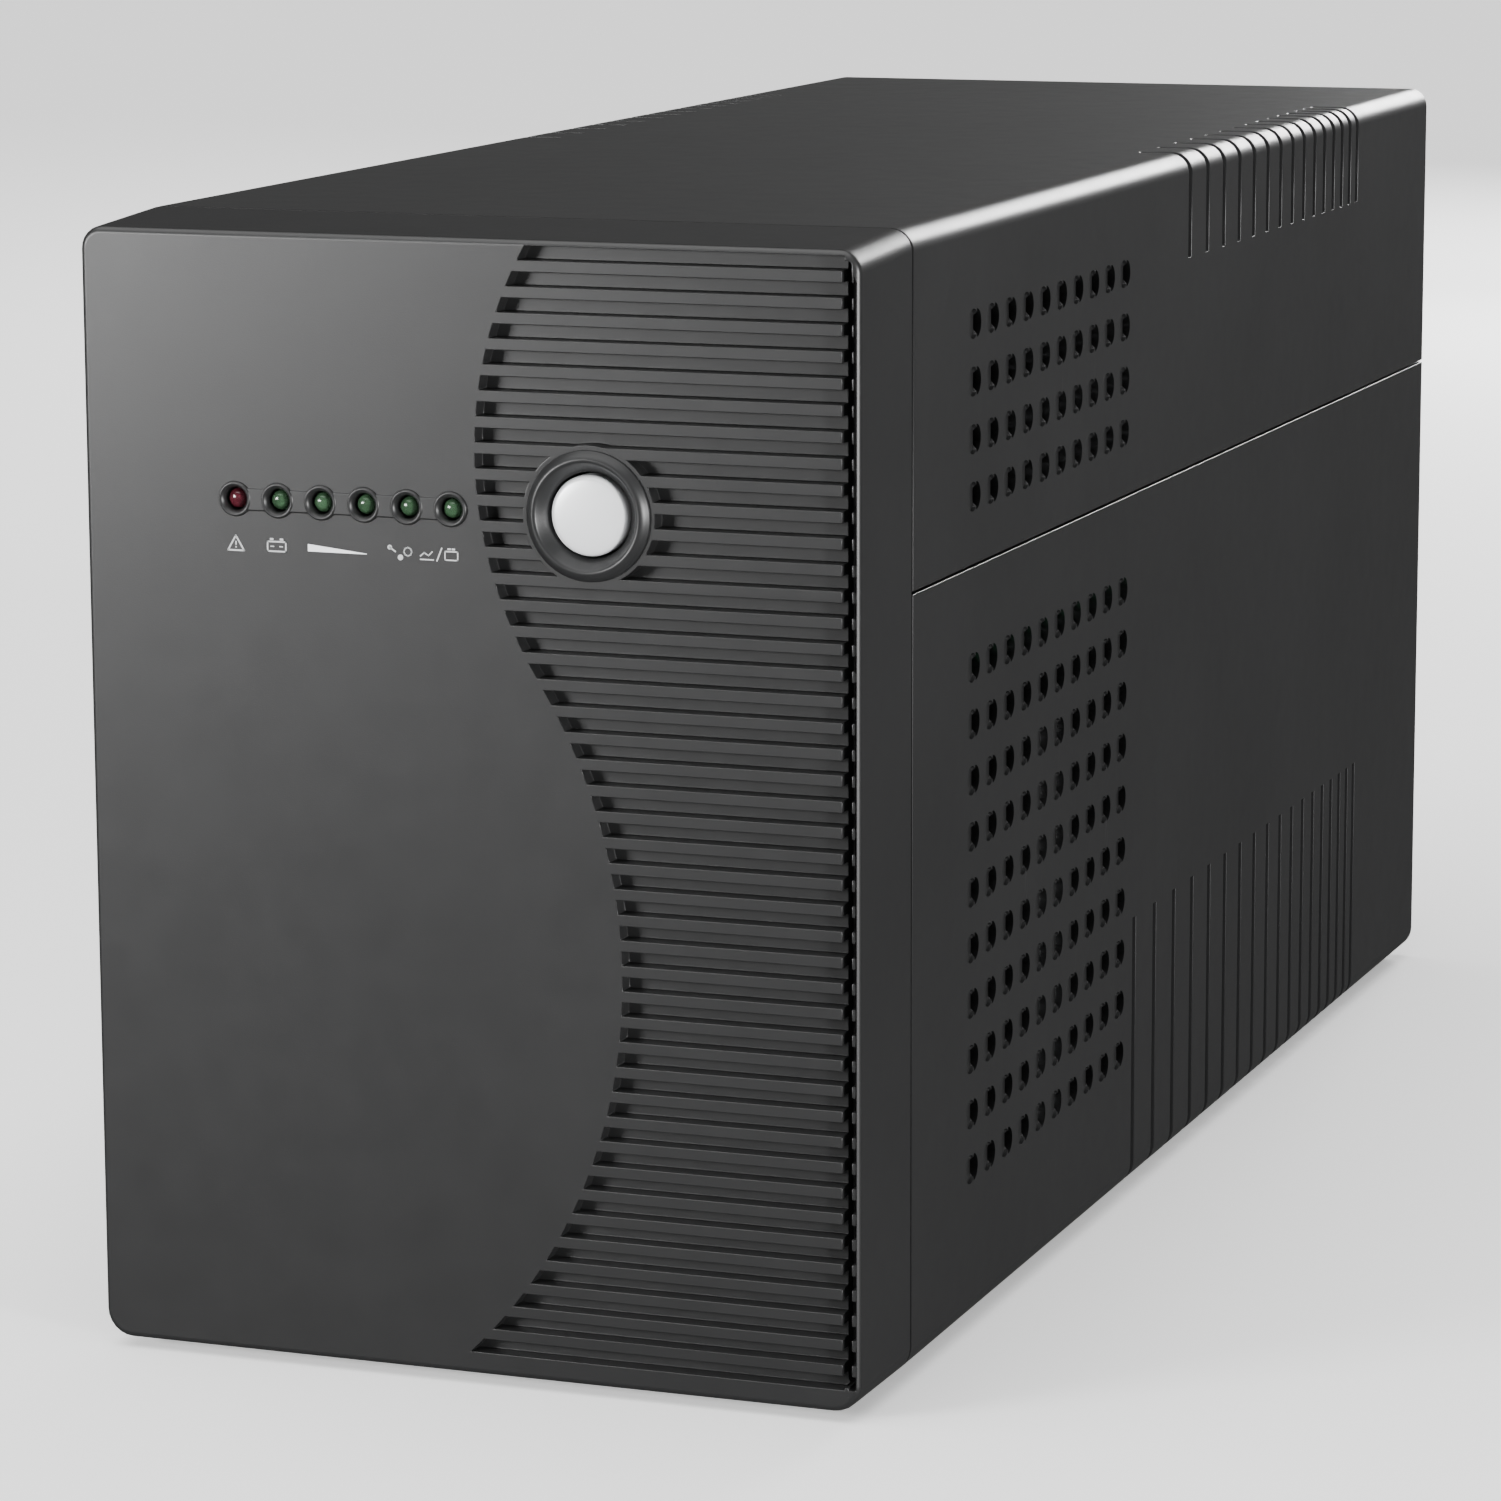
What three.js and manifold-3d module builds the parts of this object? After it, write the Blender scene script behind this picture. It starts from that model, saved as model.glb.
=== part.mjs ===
// A tower uninterruptible power supply, as it would come apart on a bench: casings, front bezel
// with its button and indicators, rear panel with its sockets and fan, and what works inside.
// Millimetres. +Z is up, the front faces -Y, and the origin is the middle of the footprint on
// the surface that the feet stand on.
import * as THREE from 'three';
import { mergeVertices } from 'three/addons/utils/BufferGeometryUtils.js';
import Module from 'manifold-3d';

const wasm = await Module();
wasm.setup();

// ---------------------------------------------------------------- driving dimensions
const WIDTH = 146;
const DEPTH = 397;
const HEIGHT = 205;
const FOOT_HEIGHT = 2;
const RING_PROUD = 1.5;
const WALL = 2.6;
const CLEARANCE = 0.3;
const SEAM = 0.8;
const EDGE_RADIUS = 4;
const BOTTOM_RADIUS = 5;

const SIDE = WIDTH / 2;
const REAR = DEPTH / 2;
const FRONT = -DEPTH / 2 + RING_PROUD;
const FLOOR = FOOT_HEIGHT;
const INSIDE = SIDE - WALL;
const FLOOR_INSIDE = FLOOR + WALL;
const ROOF_INSIDE = HEIGHT - WALL;
const CASING_SPLIT = 142;
const BEZEL_BACK = FRONT + 26 - SEAM / 2;
const CASING_FRONT = BEZEL_BACK + SEAM;

// Front bezel: it narrows towards the front, and its face carries a smooth field and louvres.
const BEZEL = { sideTaper: 1.3, topTaper: 1.25, bottomTaper: 1.7, edge: 1.2, wall: 4.8 };
const LOUVRE = { count: 44, first: 201.4, pitch: 4.512, height: 2.4, depth: 2.6 };
const CREST = { x: 2.3, z: 166.6, radius: 72.3 };
const BULGE = { x: 28.9, z: 75.5, radius: 96.5 };

// Indicators and push button, all on one line.
const CONTROL_Z = 156.7;
const LAMP = { count: 6, first: -43.3, pitch: 8.19, radius: 1.85, eyelet: 3.15, proud: 0.5 };
const BUTTON = { x: 23.3, radius: 7.05, face: FRONT - 0.4, skirtEnd: FRONT + 7.3 };
const RING = { outer: 11.4, ridge: 9.8, sleeve: 9.3, inner: 7.5, back: FRONT + 11 };
const PAD_RADIUS = 12.2;
const BOARD_FRONT = FRONT + 17;

// Rear panel and what it carries.
const PANEL = { front: 193, back: 195 };
const FLANGE_BACK = 197;
const FAN = { x: -20, z: 150, size: 80, thick: 25, bore: 38, hub: 15.5, blade: 36.5, blades: 7 };
const FAN_HOLE = 35.75;
const FAN_HOLES = [[-1, -1], [-1, 1], [1, -1], [1, 1]].map(([sideX, sideZ]) =>
  [FAN.x + sideX * FAN_HOLE, FAN.z + sideZ * FAN_HOLE]);
const OUTLET_X = [-40, 0, 40];
const OUTLET_Z = [84, 52];
const OUTLET = { flangeX: 31, flangeZ: 26, bodyX: 27, bodyZ: 21, deep: 20 };
const INLET = { x: -34, z: 22, flangeX: 34, flangeZ: 27, bodyX: 29, bodyZ: 22, deep: 24 };
const BREAKER = { x: 10, z: 22, neck: 7, nut: 9.5, button: 4 };
const DATA_PORTS = { x: 44, z: 176, wide: 32, tall: 14 };
const USB_PORT = { x: 44, z: 152, wide: 12, tall: 11 };
const PANEL_SCREWS = [[-63, 12], [63, 12], [-63, 195], [63, 195]];

// Inside.
const BATTERY = { wide: 65, long: 151, tall: 94, front: -163, gap: 1.5, rail: 3.6 };
const BATTERY_LOW = FLOOR_INSIDE + BATTERY.rail + CLEARANCE;
const BATTERY_TOP = BATTERY_LOW + BATTERY.tall;
const CORE = { half: 57, front: 44, back: 104, low: 5, high: 100, window: 19, leg: 19 };
const BOARD = { low: 121, thick: 1.6, half: 69.6, front: -160, back: 12 };
const FEET = [['front_left', -52, -150], ['front_right', 52, -150],
  ['rear_left', -52, 165], ['rear_right', 52, 165]];

// ---------------------------------------------------------------- finishes
const finish = (color, roughness, metalness = 0) =>
  new THREE.MeshStandardMaterial({ color, roughness, metalness });
const BLACK_PLASTIC = finish(0x26272a, 0.55);
const RING_PLASTIC = finish(0x2b2c2e, 0.45);
const SILVER_CAP = finish(0xd8d9da, 0.35, 0.2);
const GREEN_LENS = finish(0x3f5a42, 0.2);
const RED_LENS = finish(0x5c2a30, 0.2);
const RUBBER = finish(0x161617, 0.9);
const STEEL = finish(0xa9abad, 0.4, 0.9);
const PANEL_PAINT = finish(0x2e3033, 0.5, 0.3);
const SOCKET_PLASTIC = finish(0x141415, 0.5);
const BATTERY_CASE = finish(0x3a3c40, 0.6);
const BRASS = finish(0xb79a55, 0.35, 0.9);
const CORE_LACQUER = finish(0x4a3c34, 0.6, 0.4);
const WINDING = finish(0xc2a25a, 0.6);
const CIRCUIT_BOARD = finish(0x1f5a3a, 0.5);
const ALUMINIUM = finish(0xb9bcc0, 0.35, 0.9);
const RED_WIRE = finish(0xa02020, 0.6);
const BLACK_WIRE = finish(0x1a1a1a, 0.6);
const RELAY_CASE = finish(0x25415f, 0.5);
const CAN_SLEEVE = finish(0x24262b, 0.4);

// ---------------------------------------------------------------- solids
function solid(geometry) {
  const bare = geometry.clone();
  bare.deleteAttribute('normal');
  bare.deleteAttribute('uv');
  const merged = mergeVertices(bare, 1e-4);
  const vertProperties = new Float32Array(merged.attributes.position.array);
  const triVerts = new Uint32Array(merged.index.array);
  return new wasm.Manifold(new wasm.Mesh({ numProp: 3, vertProperties, triVerts }));
}

function surface(shape) {
  const { vertProperties, triVerts } = shape.getMesh();
  const geometry = new THREE.BufferGeometry();
  geometry.setAttribute('position', new THREE.BufferAttribute(vertProperties, 3));
  geometry.setIndex(new THREE.BufferAttribute(triVerts, 1));
  geometry.computeVertexNormals();
  return geometry;
}

const joined = (pieces) => pieces.reduce((sum, piece) => sum.add(piece));
const without = (shape, pieces) => pieces.reduce((rest, piece) => rest.subtract(piece), shape);

// A box between two corners.
function block(x0, x1, y0, y1, z0, z1) {
  const box = new THREE.BoxGeometry(x1 - x0, y1 - y0, z1 - z0);
  return solid(box.translate((x0 + x1) / 2, (y0 + y1) / 2, (z0 + z1) / 2));
}

// A box centred on x and z, running from y0 to y1.
const bar = (x, z, wide, tall, y0, y1) =>
  block(x - wide / 2, x + wide / 2, y0, y1, z - tall / 2, z + tall / 2);

// A round rod along Y, centred on x and z.
function rod(radius, y0, y1, x, z, sides = 24) {
  const round = new THREE.CylinderGeometry(radius, radius, y1 - y0, sides);
  return solid(round.translate(x, (y0 + y1) / 2, z));
}

// A round post along Z, centred on x and y.
function post(radius, z0, z1, x, y, sides = 20) {
  const round = new THREE.CylinderGeometry(radius, radius, z1 - z0, sides);
  return solid(round.rotateX(Math.PI / 2).translate(x, y, (z0 + z1) / 2));
}

// An outline in X and Z, carried along Y from y0 to y1.
function carried(shape, y0, y1, curveSegments = 4) {
  const options = { depth: y1 - y0, bevelEnabled: false, curveSegments };
  const geometry = new THREE.ExtrudeGeometry(shape, options);
  return solid(geometry.rotateX(Math.PI / 2).translate(0, y1, 0));
}

// A profile of [radius, y] points turned about an axis along Y through x and z.
function turned(profile, x, z, sides = 32) {
  const points = profile.map(([radius, y]) => new THREE.Vector2(radius, y));
  return solid(new THREE.LatheGeometry(points, sides).translate(x, 0, z));
}

// The corner points of a rectangle in X and Z whose corners are rounded.
function roundedOutline(x0, x1, z0, z1, radius, steps = 4) {
  const corners = [[x1 - radius, z1 - radius, 0], [x0 + radius, z1 - radius, 1],
    [x0 + radius, z0 + radius, 2], [x1 - radius, z0 + radius, 3]];
  return corners.flatMap(([x, z, quarter]) => {
    const arc = [];
    for (let step = 0; step <= steps; step += 1) {
      const angle = (quarter + step / steps) * Math.PI / 2;
      arc.push([x + radius * Math.cos(angle), z + radius * Math.sin(angle)]);
    }
    return arc;
  });
}

// A closed solid through outlines with equal counts of points, each at its own y.
function lofted(sections) {
  const count = sections[0].outline.length;
  const positions = sections.flatMap(({ outline, y }) => outline.flatMap(([x, z]) => [x, y, z]));
  const index = [];
  for (let ring = 0; ring + 1 < sections.length; ring += 1) {
    for (let i = 0; i < count; i += 1) {
      const a = ring * count + i;
      const b = ring * count + (i + 1) % count;
      index.push(a, b + count, b, a, a + count, b + count);
    }
  }
  const last = (sections.length - 1) * count;
  for (let i = 1; i + 1 < count; i += 1) {
    index.push(0, i, i + 1, last, last + i + 1, last + i);
  }
  const geometry = new THREE.BufferGeometry();
  geometry.setAttribute('position', new THREE.Float32BufferAttribute(positions, 3));
  geometry.setIndex(index);
  return solid(geometry);
}

// A round wire or tube of the given radius through points.
function wire(points, radius, steps, sides = 8) {
  const curve = new THREE.CatmullRomCurve3(points.map(([x, y, z]) => new THREE.Vector3(x, y, z)));
  const section = new THREE.Shape();
  for (let i = 0; i < sides; i += 1) {
    const angle = i / sides * Math.PI * 2;
    const corner = [radius * Math.cos(angle), radius * Math.sin(angle)];
    if (i === 0) section.moveTo(...corner);
    else section.lineTo(...corner);
  }
  return new THREE.ExtrudeGeometry(section, { steps, extrudePath: curve, bevelEnabled: false });
}

function part(name, shape, material) {
  const geometry = shape.isBufferGeometry ? shape : surface(shape);
  const mesh = new THREE.Mesh(geometry, material);
  mesh.name = name;
  return mesh;
}

// ---------------------------------------------------------------- casings
// Walls and roof (or floor) in one bent section: the outer line, then back along the inner one.
function channelSection(openZ, closedZ, outerRadius, innerRadius) {
  const up = Math.sign(closedZ - openZ);
  const innerZ = closedZ - up * WALL;
  const section = new THREE.Shape();
  const turn = (cx, cz, radius, from, to, clockwise) =>
    section.absarc(cx, cz, radius, from, to, clockwise);
  const side = up * Math.PI / 2;
  section.moveTo(SIDE, openZ);
  turn(SIDE - outerRadius, closedZ - up * outerRadius, outerRadius, 0, side, up < 0);
  turn(outerRadius - SIDE, closedZ - up * outerRadius, outerRadius, side, 2 * side, up < 0);
  section.lineTo(-SIDE, openZ);
  section.lineTo(-INSIDE, openZ);
  turn(innerRadius - INSIDE, innerZ - up * innerRadius, innerRadius, 2 * side, side, up > 0);
  turn(INSIDE - innerRadius, innerZ - up * innerRadius, innerRadius, side, 0, up > 0);
  section.lineTo(INSIDE, openZ);
  section.closePath();
  return section;
}

// A block in a rear corner that a panel screw bites into.
function screwBoss(x, z) {
  const [end, half] = [Math.sign(x), 5];
  const reach = z > CASING_SPLIT ? [z - half, ROOF_INSIDE + 0.5] : [FLOOR_INSIDE - 0.5, z + half];
  const near = INSIDE - Math.abs(x) + half;
  const boss = wallBlock(end, -0.5, near, PANEL.front - 16, PANEL.front - CLEARANCE, ...reach);
  return boss.subtract(rod(1.7, PANEL.front - 14, PANEL.front + 1, x, z, 10));
}

// A block against one side wall: end is -1 or 1, and near and far count inwards from the wall.
function wallBlock(end, near, far, ...rest) {
  const [x0, x1] = [end * (INSIDE - far), end * (INSIDE - near)].sort((a, b) => a - b);
  return block(x0, x1, ...rest);
}

// The lip that stands up behind the upper casing's edge and keeps light and dust out.
const splitLip = (end) => [
  wallBlock(end, -0.2, 1.3, CASING_FRONT + 4, PANEL.front - 20, CASING_SPLIT - 6, CASING_SPLIT - 1),
  wallBlock(end, CLEARANCE, 1.3, CASING_FRONT + 4, PANEL.front - 20,
    CASING_SPLIT - 5, CASING_SPLIT + 2),
];

// A rib up the side wall that the main board rests on.
const boardRib = (end, y) =>
  wallBlock(end, -0.2, 3.2, y - 3, y + 3, FLOOR_INSIDE - 0.5, BOARD.low - CLEARANCE);

// Two rails on the floor that one battery stands on.
const batteryRails = (end) => [20, 44].map((x) =>
  bar(end * x, FLOOR_INSIDE + 1.6, 3, 4, BATTERY.front + 4, BATTERY.front + BATTERY.long - 4));

function upperCasing() {
  const section = channelSection(CASING_SPLIT + SEAM / 2, HEIGHT, EDGE_RADIUS, 1.4);
  const shell = carried(section, CASING_FRONT, REAR);
  const bosses = PANEL_SCREWS.filter(([, z]) => z > CASING_SPLIT).map(([x, z]) => screwBoss(x, z));
  return joined([shell, ...bosses]);
}

function lowerCasing() {
  const section = channelSection(CASING_SPLIT - SEAM / 2, FLOOR, BOTTOM_RADIUS, 2.4);
  const shell = carried(section, CASING_FRONT, REAR);
  const bosses = PANEL_SCREWS.filter(([, z]) => z < CASING_SPLIT).map(([x, z]) => screwBoss(x, z));
  const inner = [];
  for (const end of [-1, 1]) {
    inner.push(...splitLip(end), ...batteryRails(end));
    for (const y of [BOARD.front + 8, BOARD.back - 14]) inner.push(boardRib(end, y));
  }
  const footHoles = FEET.map(([, x, y]) => post(2.8, FLOOR - 1, FLOOR_INSIDE + 1, x, y, 12));
  return without(joined([shell, ...bosses, ...inner]), footHoles);
}

function foot(x, y) {
  const [seat, barb] = [FLOOR - 0.25, FLOOR_INSIDE + CLEARANCE];
  const profile = [[0, 0], [8.4, 0], [9, seat], [2.5, seat], [2.5, barb], [3.3, barb], [0, barb + 2.6]];
  const points = profile.map(([radius, height]) => new THREE.Vector2(radius, height));
  return solid(new THREE.LatheGeometry(points, 14).rotateX(Math.PI / 2).translate(x, y, 0));
}

// ---------------------------------------------------------------- front bezel
// The bezel's outline, drawn in by a share of its taper and by an even inset.
function bezelOutline(share, inset, radius) {
  const side = SIDE - share * BEZEL.sideTaper - inset;
  const low = FLOOR + share * BEZEL.bottomTaper + inset;
  const high = HEIGHT - share * BEZEL.topTaper - inset;
  return roundedOutline(-side, side, low, high, radius);
}

// Left ends of the louvre grooves: two arcs that touch, one bulging left and one bulging right.
function grooveStart(z) {
  const share = BULGE.radius / (CREST.radius + BULGE.radius);
  const join = BULGE.z + (CREST.z - BULGE.z) * share;
  if (z > join) {
    return CREST.x + CREST.radius - Math.sqrt(CREST.radius ** 2 - (z - CREST.z) ** 2);
  }
  return BULGE.x - BULGE.radius + Math.sqrt(BULGE.radius ** 2 - (z - BULGE.z) ** 2);
}

function louvreGrooves() {
  const grooves = [];
  for (let i = 0; i < LOUVRE.count; i += 1) {
    const z = LOUVRE.first - i * LOUVRE.pitch;
    grooves.push(block(grooveStart(z), SIDE + 2, FRONT - 1, FRONT + LOUVRE.depth,
      z - LOUVRE.height / 2, z + LOUVRE.height / 2));
  }
  return joined(grooves).subtract(rod(PAD_RADIUS, FRONT - 2, FRONT + 4, BUTTON.x, CONTROL_Z));
}

const lampX = (i) => LAMP.first + i * LAMP.pitch;
const lamps = Array.from({ length: LAMP.count }, (_, i) => i);

function frontBezel() {
  const body = lofted([
    { y: FRONT, outline: bezelOutline(1, BEZEL.edge, 3) },
    { y: FRONT + BEZEL.edge, outline: bezelOutline(1, 0, 4) },
    { y: BEZEL_BACK, outline: bezelOutline(0, 0, EDGE_RADIUS) },
  ]);
  const hollow = lofted([
    { y: FRONT + BEZEL.wall, outline: bezelOutline(0.8, WALL, 1.5) },
    { y: BEZEL_BACK + 1, outline: bezelOutline(0, WALL, 1.5) },
  ]);
  const trim = lamps.map((i) =>
    rod(LAMP.eyelet, FRONT - LAMP.proud, FRONT + 1, lampX(i), CONTROL_Z, 16));
  const barCentre = (lampX(0) + lampX(LAMP.count - 1)) / 2;
  trim.push(bar(barCentre, CONTROL_Z, (LAMP.count - 1) * LAMP.pitch, 3.8, FRONT - 0.3, FRONT + 1));
  const clips = [-1, 1].flatMap((end) => [40, 165].flatMap((z) => [
    wallBlock(end, CLEARANCE, 2, BEZEL_BACK - 12, BEZEL_BACK + 9, z - 8, z + 8),
    wallBlock(end, -0.3, 2, BEZEL_BACK - 12, BEZEL_BACK - 1, z - 8, z + 8),
  ]));
  const posts = [-46, 33].flatMap((x) => [145, 169].map((z) =>
    rod(2.5, FRONT + BEZEL.wall - 0.5, BOARD_FRONT - CLEARANCE, x, z, 8)));
  const holes = lamps.map((i) =>
    rod(LAMP.radius + CLEARANCE, FRONT - 2, FRONT + 8, lampX(i), CONTROL_Z, 12));
  holes.push(rod(RING.sleeve + CLEARANCE, FRONT - 2, FRONT + 8, BUTTON.x, CONTROL_Z));
  const shell = body.subtract(hollow).subtract(louvreGrooves());
  return without(joined([shell, ...trim, ...clips, ...posts]), holes);
}

function buttonRing() {
  const rim = FRONT - RING_PROUD;
  const seat = FRONT - CLEARANCE;
  return turned([
    [RING.inner, RING.back - 1.5], [RING.inner, FRONT + 0.8], [RING.ridge - 0.5, rim + 0.15],
    [RING.ridge, rim], [RING.outer - 0.5, rim + 0.5], [RING.outer, seat - 0.3], [RING.outer, seat],
    [RING.sleeve, seat], [RING.sleeve, RING.back], [3, RING.back], [3, RING.back - 1.5],
    [RING.inner, RING.back - 1.5],
  ], BUTTON.x, CONTROL_Z, 24);
}

function powerButton() {
  const ceiling = FRONT + 2;
  return turned([
    [0, BUTTON.face], [4, BUTTON.face + 0.15], [6.4, BUTTON.face + 0.6],
    [BUTTON.radius, BUTTON.face + 1.2],
    [BUTTON.radius, BUTTON.skirtEnd], [5.9, BUTTON.skirtEnd], [5.9, ceiling], [2, ceiling],
    [2, RING.back + 0.4], [0, RING.back + 0.4],
  ], BUTTON.x, CONTROL_Z, 20);
}

function buttonSpring() {
  const start = FRONT + 2 + CLEARANCE;
  const end = RING.back - 1.5 - CLEARANCE;
  const [turns, perTurn, coil, thick] = [4, 8, 4.2, 0.35];
  const points = [];
  for (let i = 0; i <= turns * perTurn; i += 1) {
    const angle = i / perTurn * Math.PI * 2;
    const y = start + thick + (end - start - 2 * thick) * i / (turns * perTurn);
    points.push([BUTTON.x + coil * Math.cos(angle), y, CONTROL_Z + coil * Math.sin(angle)]);
  }
  return wire(points, thick, turns * perTurn, 6);
}

function lampLens(x) {
  const tip = FRONT + 0.2;
  return turned([
    [0, tip], [1.3, tip + 0.5], [LAMP.radius, tip + 1.6], [LAMP.radius, tip + 9],
    [2.5, tip + 9], [2.5, BOARD_FRONT - CLEARANCE], [0, BOARD_FRONT - CLEARANCE],
  ], x, CONTROL_Z, 10);
}

const controlBoard = () => block(-50, 37, BOARD_FRONT, BOARD_FRONT + 1.6, 141, 173);

function buttonSwitch() {
  const seat = BOARD_FRONT - CLEARANCE;
  const body = bar(BUTTON.x, CONTROL_Z, 6, 6, seat - 2.1, seat);
  return body.add(rod(1.7, seat - 2.9, seat - 2, BUTTON.x, CONTROL_Z, 12));
}

// ---------------------------------------------------------------- rear panel
function rearPanel() {
  const side = INSIDE - CLEARANCE;
  const outline = roundedOutline(-side, side, FLOOR_INSIDE + CLEARANCE, ROOF_INSIDE - CLEARANCE, 2.6, 2);
  const plate = lofted([{ y: PANEL.front, outline }, { y: PANEL.back, outline }]);
  const hole = (at, wide, tall) =>
    bar(at.x, at.z, wide + 2 * CLEARANCE, tall + 2 * CLEARANCE, PANEL.front - 1, PANEL.back + 1);
  const holes = [
    rod(FAN.bore, PANEL.front - 1, PANEL.back + 1, FAN.x, FAN.z, 32),
    hole(INLET, INLET.bodyX, INLET.bodyZ),
    hole(DATA_PORTS, DATA_PORTS.wide, DATA_PORTS.tall),
    hole(USB_PORT, USB_PORT.wide, USB_PORT.tall),
    rod(BREAKER.neck + CLEARANCE, PANEL.front - 1, PANEL.back + 1, BREAKER.x, BREAKER.z, 20),
  ];
  for (const x of OUTLET_X) {
    for (const z of OUTLET_Z) holes.push(hole({ x, z }, OUTLET.bodyX, OUTLET.bodyZ));
  }
  for (const [x, z] of PANEL_SCREWS) holes.push(rod(1.8, PANEL.front - 1, PANEL.back + 1, x, z, 12));
  for (const [x, z] of FAN_HOLES) holes.push(rod(2.1, PANEL.front - 1, PANEL.back + 1, x, z, 10));
  return without(plate, holes);
}

function panelScrew(x, z) {
  const seat = PANEL.back + CLEARANCE;
  return turned([[0, PANEL.front - 10], [1.4, PANEL.front - 9], [1.4, seat], [3.2, seat],
    [3.2, seat + 0.8], [2, seat + 1.6], [0, seat + 1.7]], x, z, 12);
}

// The six-sided outline of an appliance coupler, with its two lower corners cut off.
function couplerOutline(x, z, wide, tall, cut) {
  const [left, right, low, high] = [x - wide / 2, x + wide / 2, z - tall / 2, z + tall / 2];
  const shape = new THREE.Shape();
  shape.moveTo(left + cut, low);
  shape.lineTo(right - cut, low);
  shape.lineTo(right, low + cut);
  shape.lineTo(right, high);
  shape.lineTo(left, high);
  shape.lineTo(left, low + cut);
  shape.closePath();
  return shape;
}

// Contacts of a coupler: earth above the middle, live and neutral below it to the sides.
const contacts = (x, z) => [[x, z + 2], [x - 7, z - 2], [x + 7, z - 2]];

function outlet(x, z) {
  const seat = PANEL.back + CLEARANCE;
  const flange = bar(x, z, OUTLET.flangeX, OUTLET.flangeZ, seat, FLANGE_BACK);
  const body = bar(x, z, OUTLET.bodyX, OUTLET.bodyZ, FLANGE_BACK - OUTLET.deep, seat + 0.5);
  const moatBack = FLANGE_BACK - 14;
  const moat = carried(couplerOutline(x, z, 24.6, 16.8, 5), moatBack, FLANGE_BACK + 1);
  const island = carried(couplerOutline(x, z, 20.6, 12.8, 4), moatBack - 1, FLANGE_BACK - 0.6);
  const slots = contacts(x, z).map(([sx, sz]) => bar(sx, sz, 2.2, 4.4, moatBack, FLANGE_BACK + 1));
  return without(joined([flange, body]), [moat.subtract(island), ...slots]);
}

function mainsInlet() {
  const seat = PANEL.back + CLEARANCE;
  const flange = bar(INLET.x, INLET.z, INLET.flangeX, INLET.flangeZ, seat, FLANGE_BACK);
  const body = bar(INLET.x, INLET.z, INLET.bodyX, INLET.bodyZ, FLANGE_BACK - INLET.deep, seat + 0.5);
  const cavityBack = FLANGE_BACK - 17;
  const cavity = carried(couplerOutline(INLET.x, INLET.z, 24.8, 17, 5), cavityBack, FLANGE_BACK + 1);
  const pins = contacts(INLET.x, INLET.z).map(([x, z]) =>
    bar(x, z, 2, 4, cavityBack - 1, FLANGE_BACK - 5.5));
  return joined([flange.add(body).subtract(cavity), ...pins]);
}

function circuitBreaker() {
  const seat = PANEL.back + CLEARANCE;
  const body = bar(BREAKER.x, BREAKER.z, 24, 24, PANEL.front - 32, PANEL.front - CLEARANCE);
  const neck = rod(BREAKER.neck, PANEL.front - 1, seat + 0.2, BREAKER.x, BREAKER.z, 20);
  const nut = rod(BREAKER.nut, seat, FLANGE_BACK, BREAKER.x, BREAKER.z, 6);
  const bore = rod(BREAKER.button + CLEARANCE, PANEL.front - 14, FLANGE_BACK + 1, BREAKER.x, BREAKER.z);
  return joined([body, neck, nut]).subtract(bore);
}

function breakerButton() {
  const tip = FLANGE_BACK - 0.4;
  const [r, root] = [BREAKER.button, PANEL.front - 13];
  return turned([[0, root], [r, root], [r, tip - 0.8], [r - 0.8, tip], [0, tip]],
    BREAKER.x, BREAKER.z, 16);
}

function dataPorts() {
  const { x, z, wide, tall } = DATA_PORTS;
  const seat = PANEL.back + CLEARANCE;
  const shell = bar(x, z, wide, tall, PANEL.front - 13, FLANGE_BACK - 0.6);
  const lip = bar(x, z, wide + 3, tall + 3, seat, FLANGE_BACK - 0.6);
  const sockets = [-7.6, 7.6].flatMap((offset) => [
    bar(x + offset, z + 0.6, 12, 7, PANEL.front - 11, FLANGE_BACK),
    bar(x + offset, z - 4, 5, 3.4, PANEL.front - 11, FLANGE_BACK),
  ]);
  return without(joined([shell, lip]), sockets);
}

function usbPort() {
  const { x, z, wide, tall } = USB_PORT;
  const shell = bar(x, z, wide, tall, PANEL.front - 14, PANEL.back + 0.8);
  const socket = bar(x, z, wide - 3, tall - 3, PANEL.front - 9, PANEL.back + 1);
  const tongue = bar(x, z, 5.6, 3.2, PANEL.front - 10, PANEL.back - 0.4);
  return shell.subtract(socket).add(tongue);
}

// ---------------------------------------------------------------- fan
const FAN_BACK = PANEL.front - CLEARANCE;
const FAN_FRONT = FAN_BACK - FAN.thick;

function fanFrame() {
  const frame = bar(FAN.x, FAN.z, FAN.size, FAN.size, FAN_FRONT, FAN_BACK);
  const bore = rod(FAN.bore, FAN_FRONT - 1, FAN_BACK + 1, FAN.x, FAN.z, 32);
  const holes = FAN_HOLES.map(([x, z]) => rod(2.1, FAN_FRONT - 1, FAN_BACK + 1, x, z, 10));
  const motor = rod(16, FAN_BACK - 4, FAN_BACK, FAN.x, FAN.z, 24);
  const struts = [0, 1, 2].map((i) => {
    const strut = new THREE.BoxGeometry(FAN.bore - 12, 3, 4);
    strut.translate(12 + (FAN.bore - 12) / 2 + 1, FAN_BACK - 1.8, 0);
    strut.rotateY(i * Math.PI * 2 / 3 + 0.5);
    return solid(strut.translate(FAN.x, 0, FAN.z));
  });
  const bearing = rod(1.7, FAN_BACK - 5, FAN_BACK - 1, FAN.x, FAN.z, 16);
  return without(joined([without(frame, [bore, ...holes]), motor, ...struts]), [bearing]);
}

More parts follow.
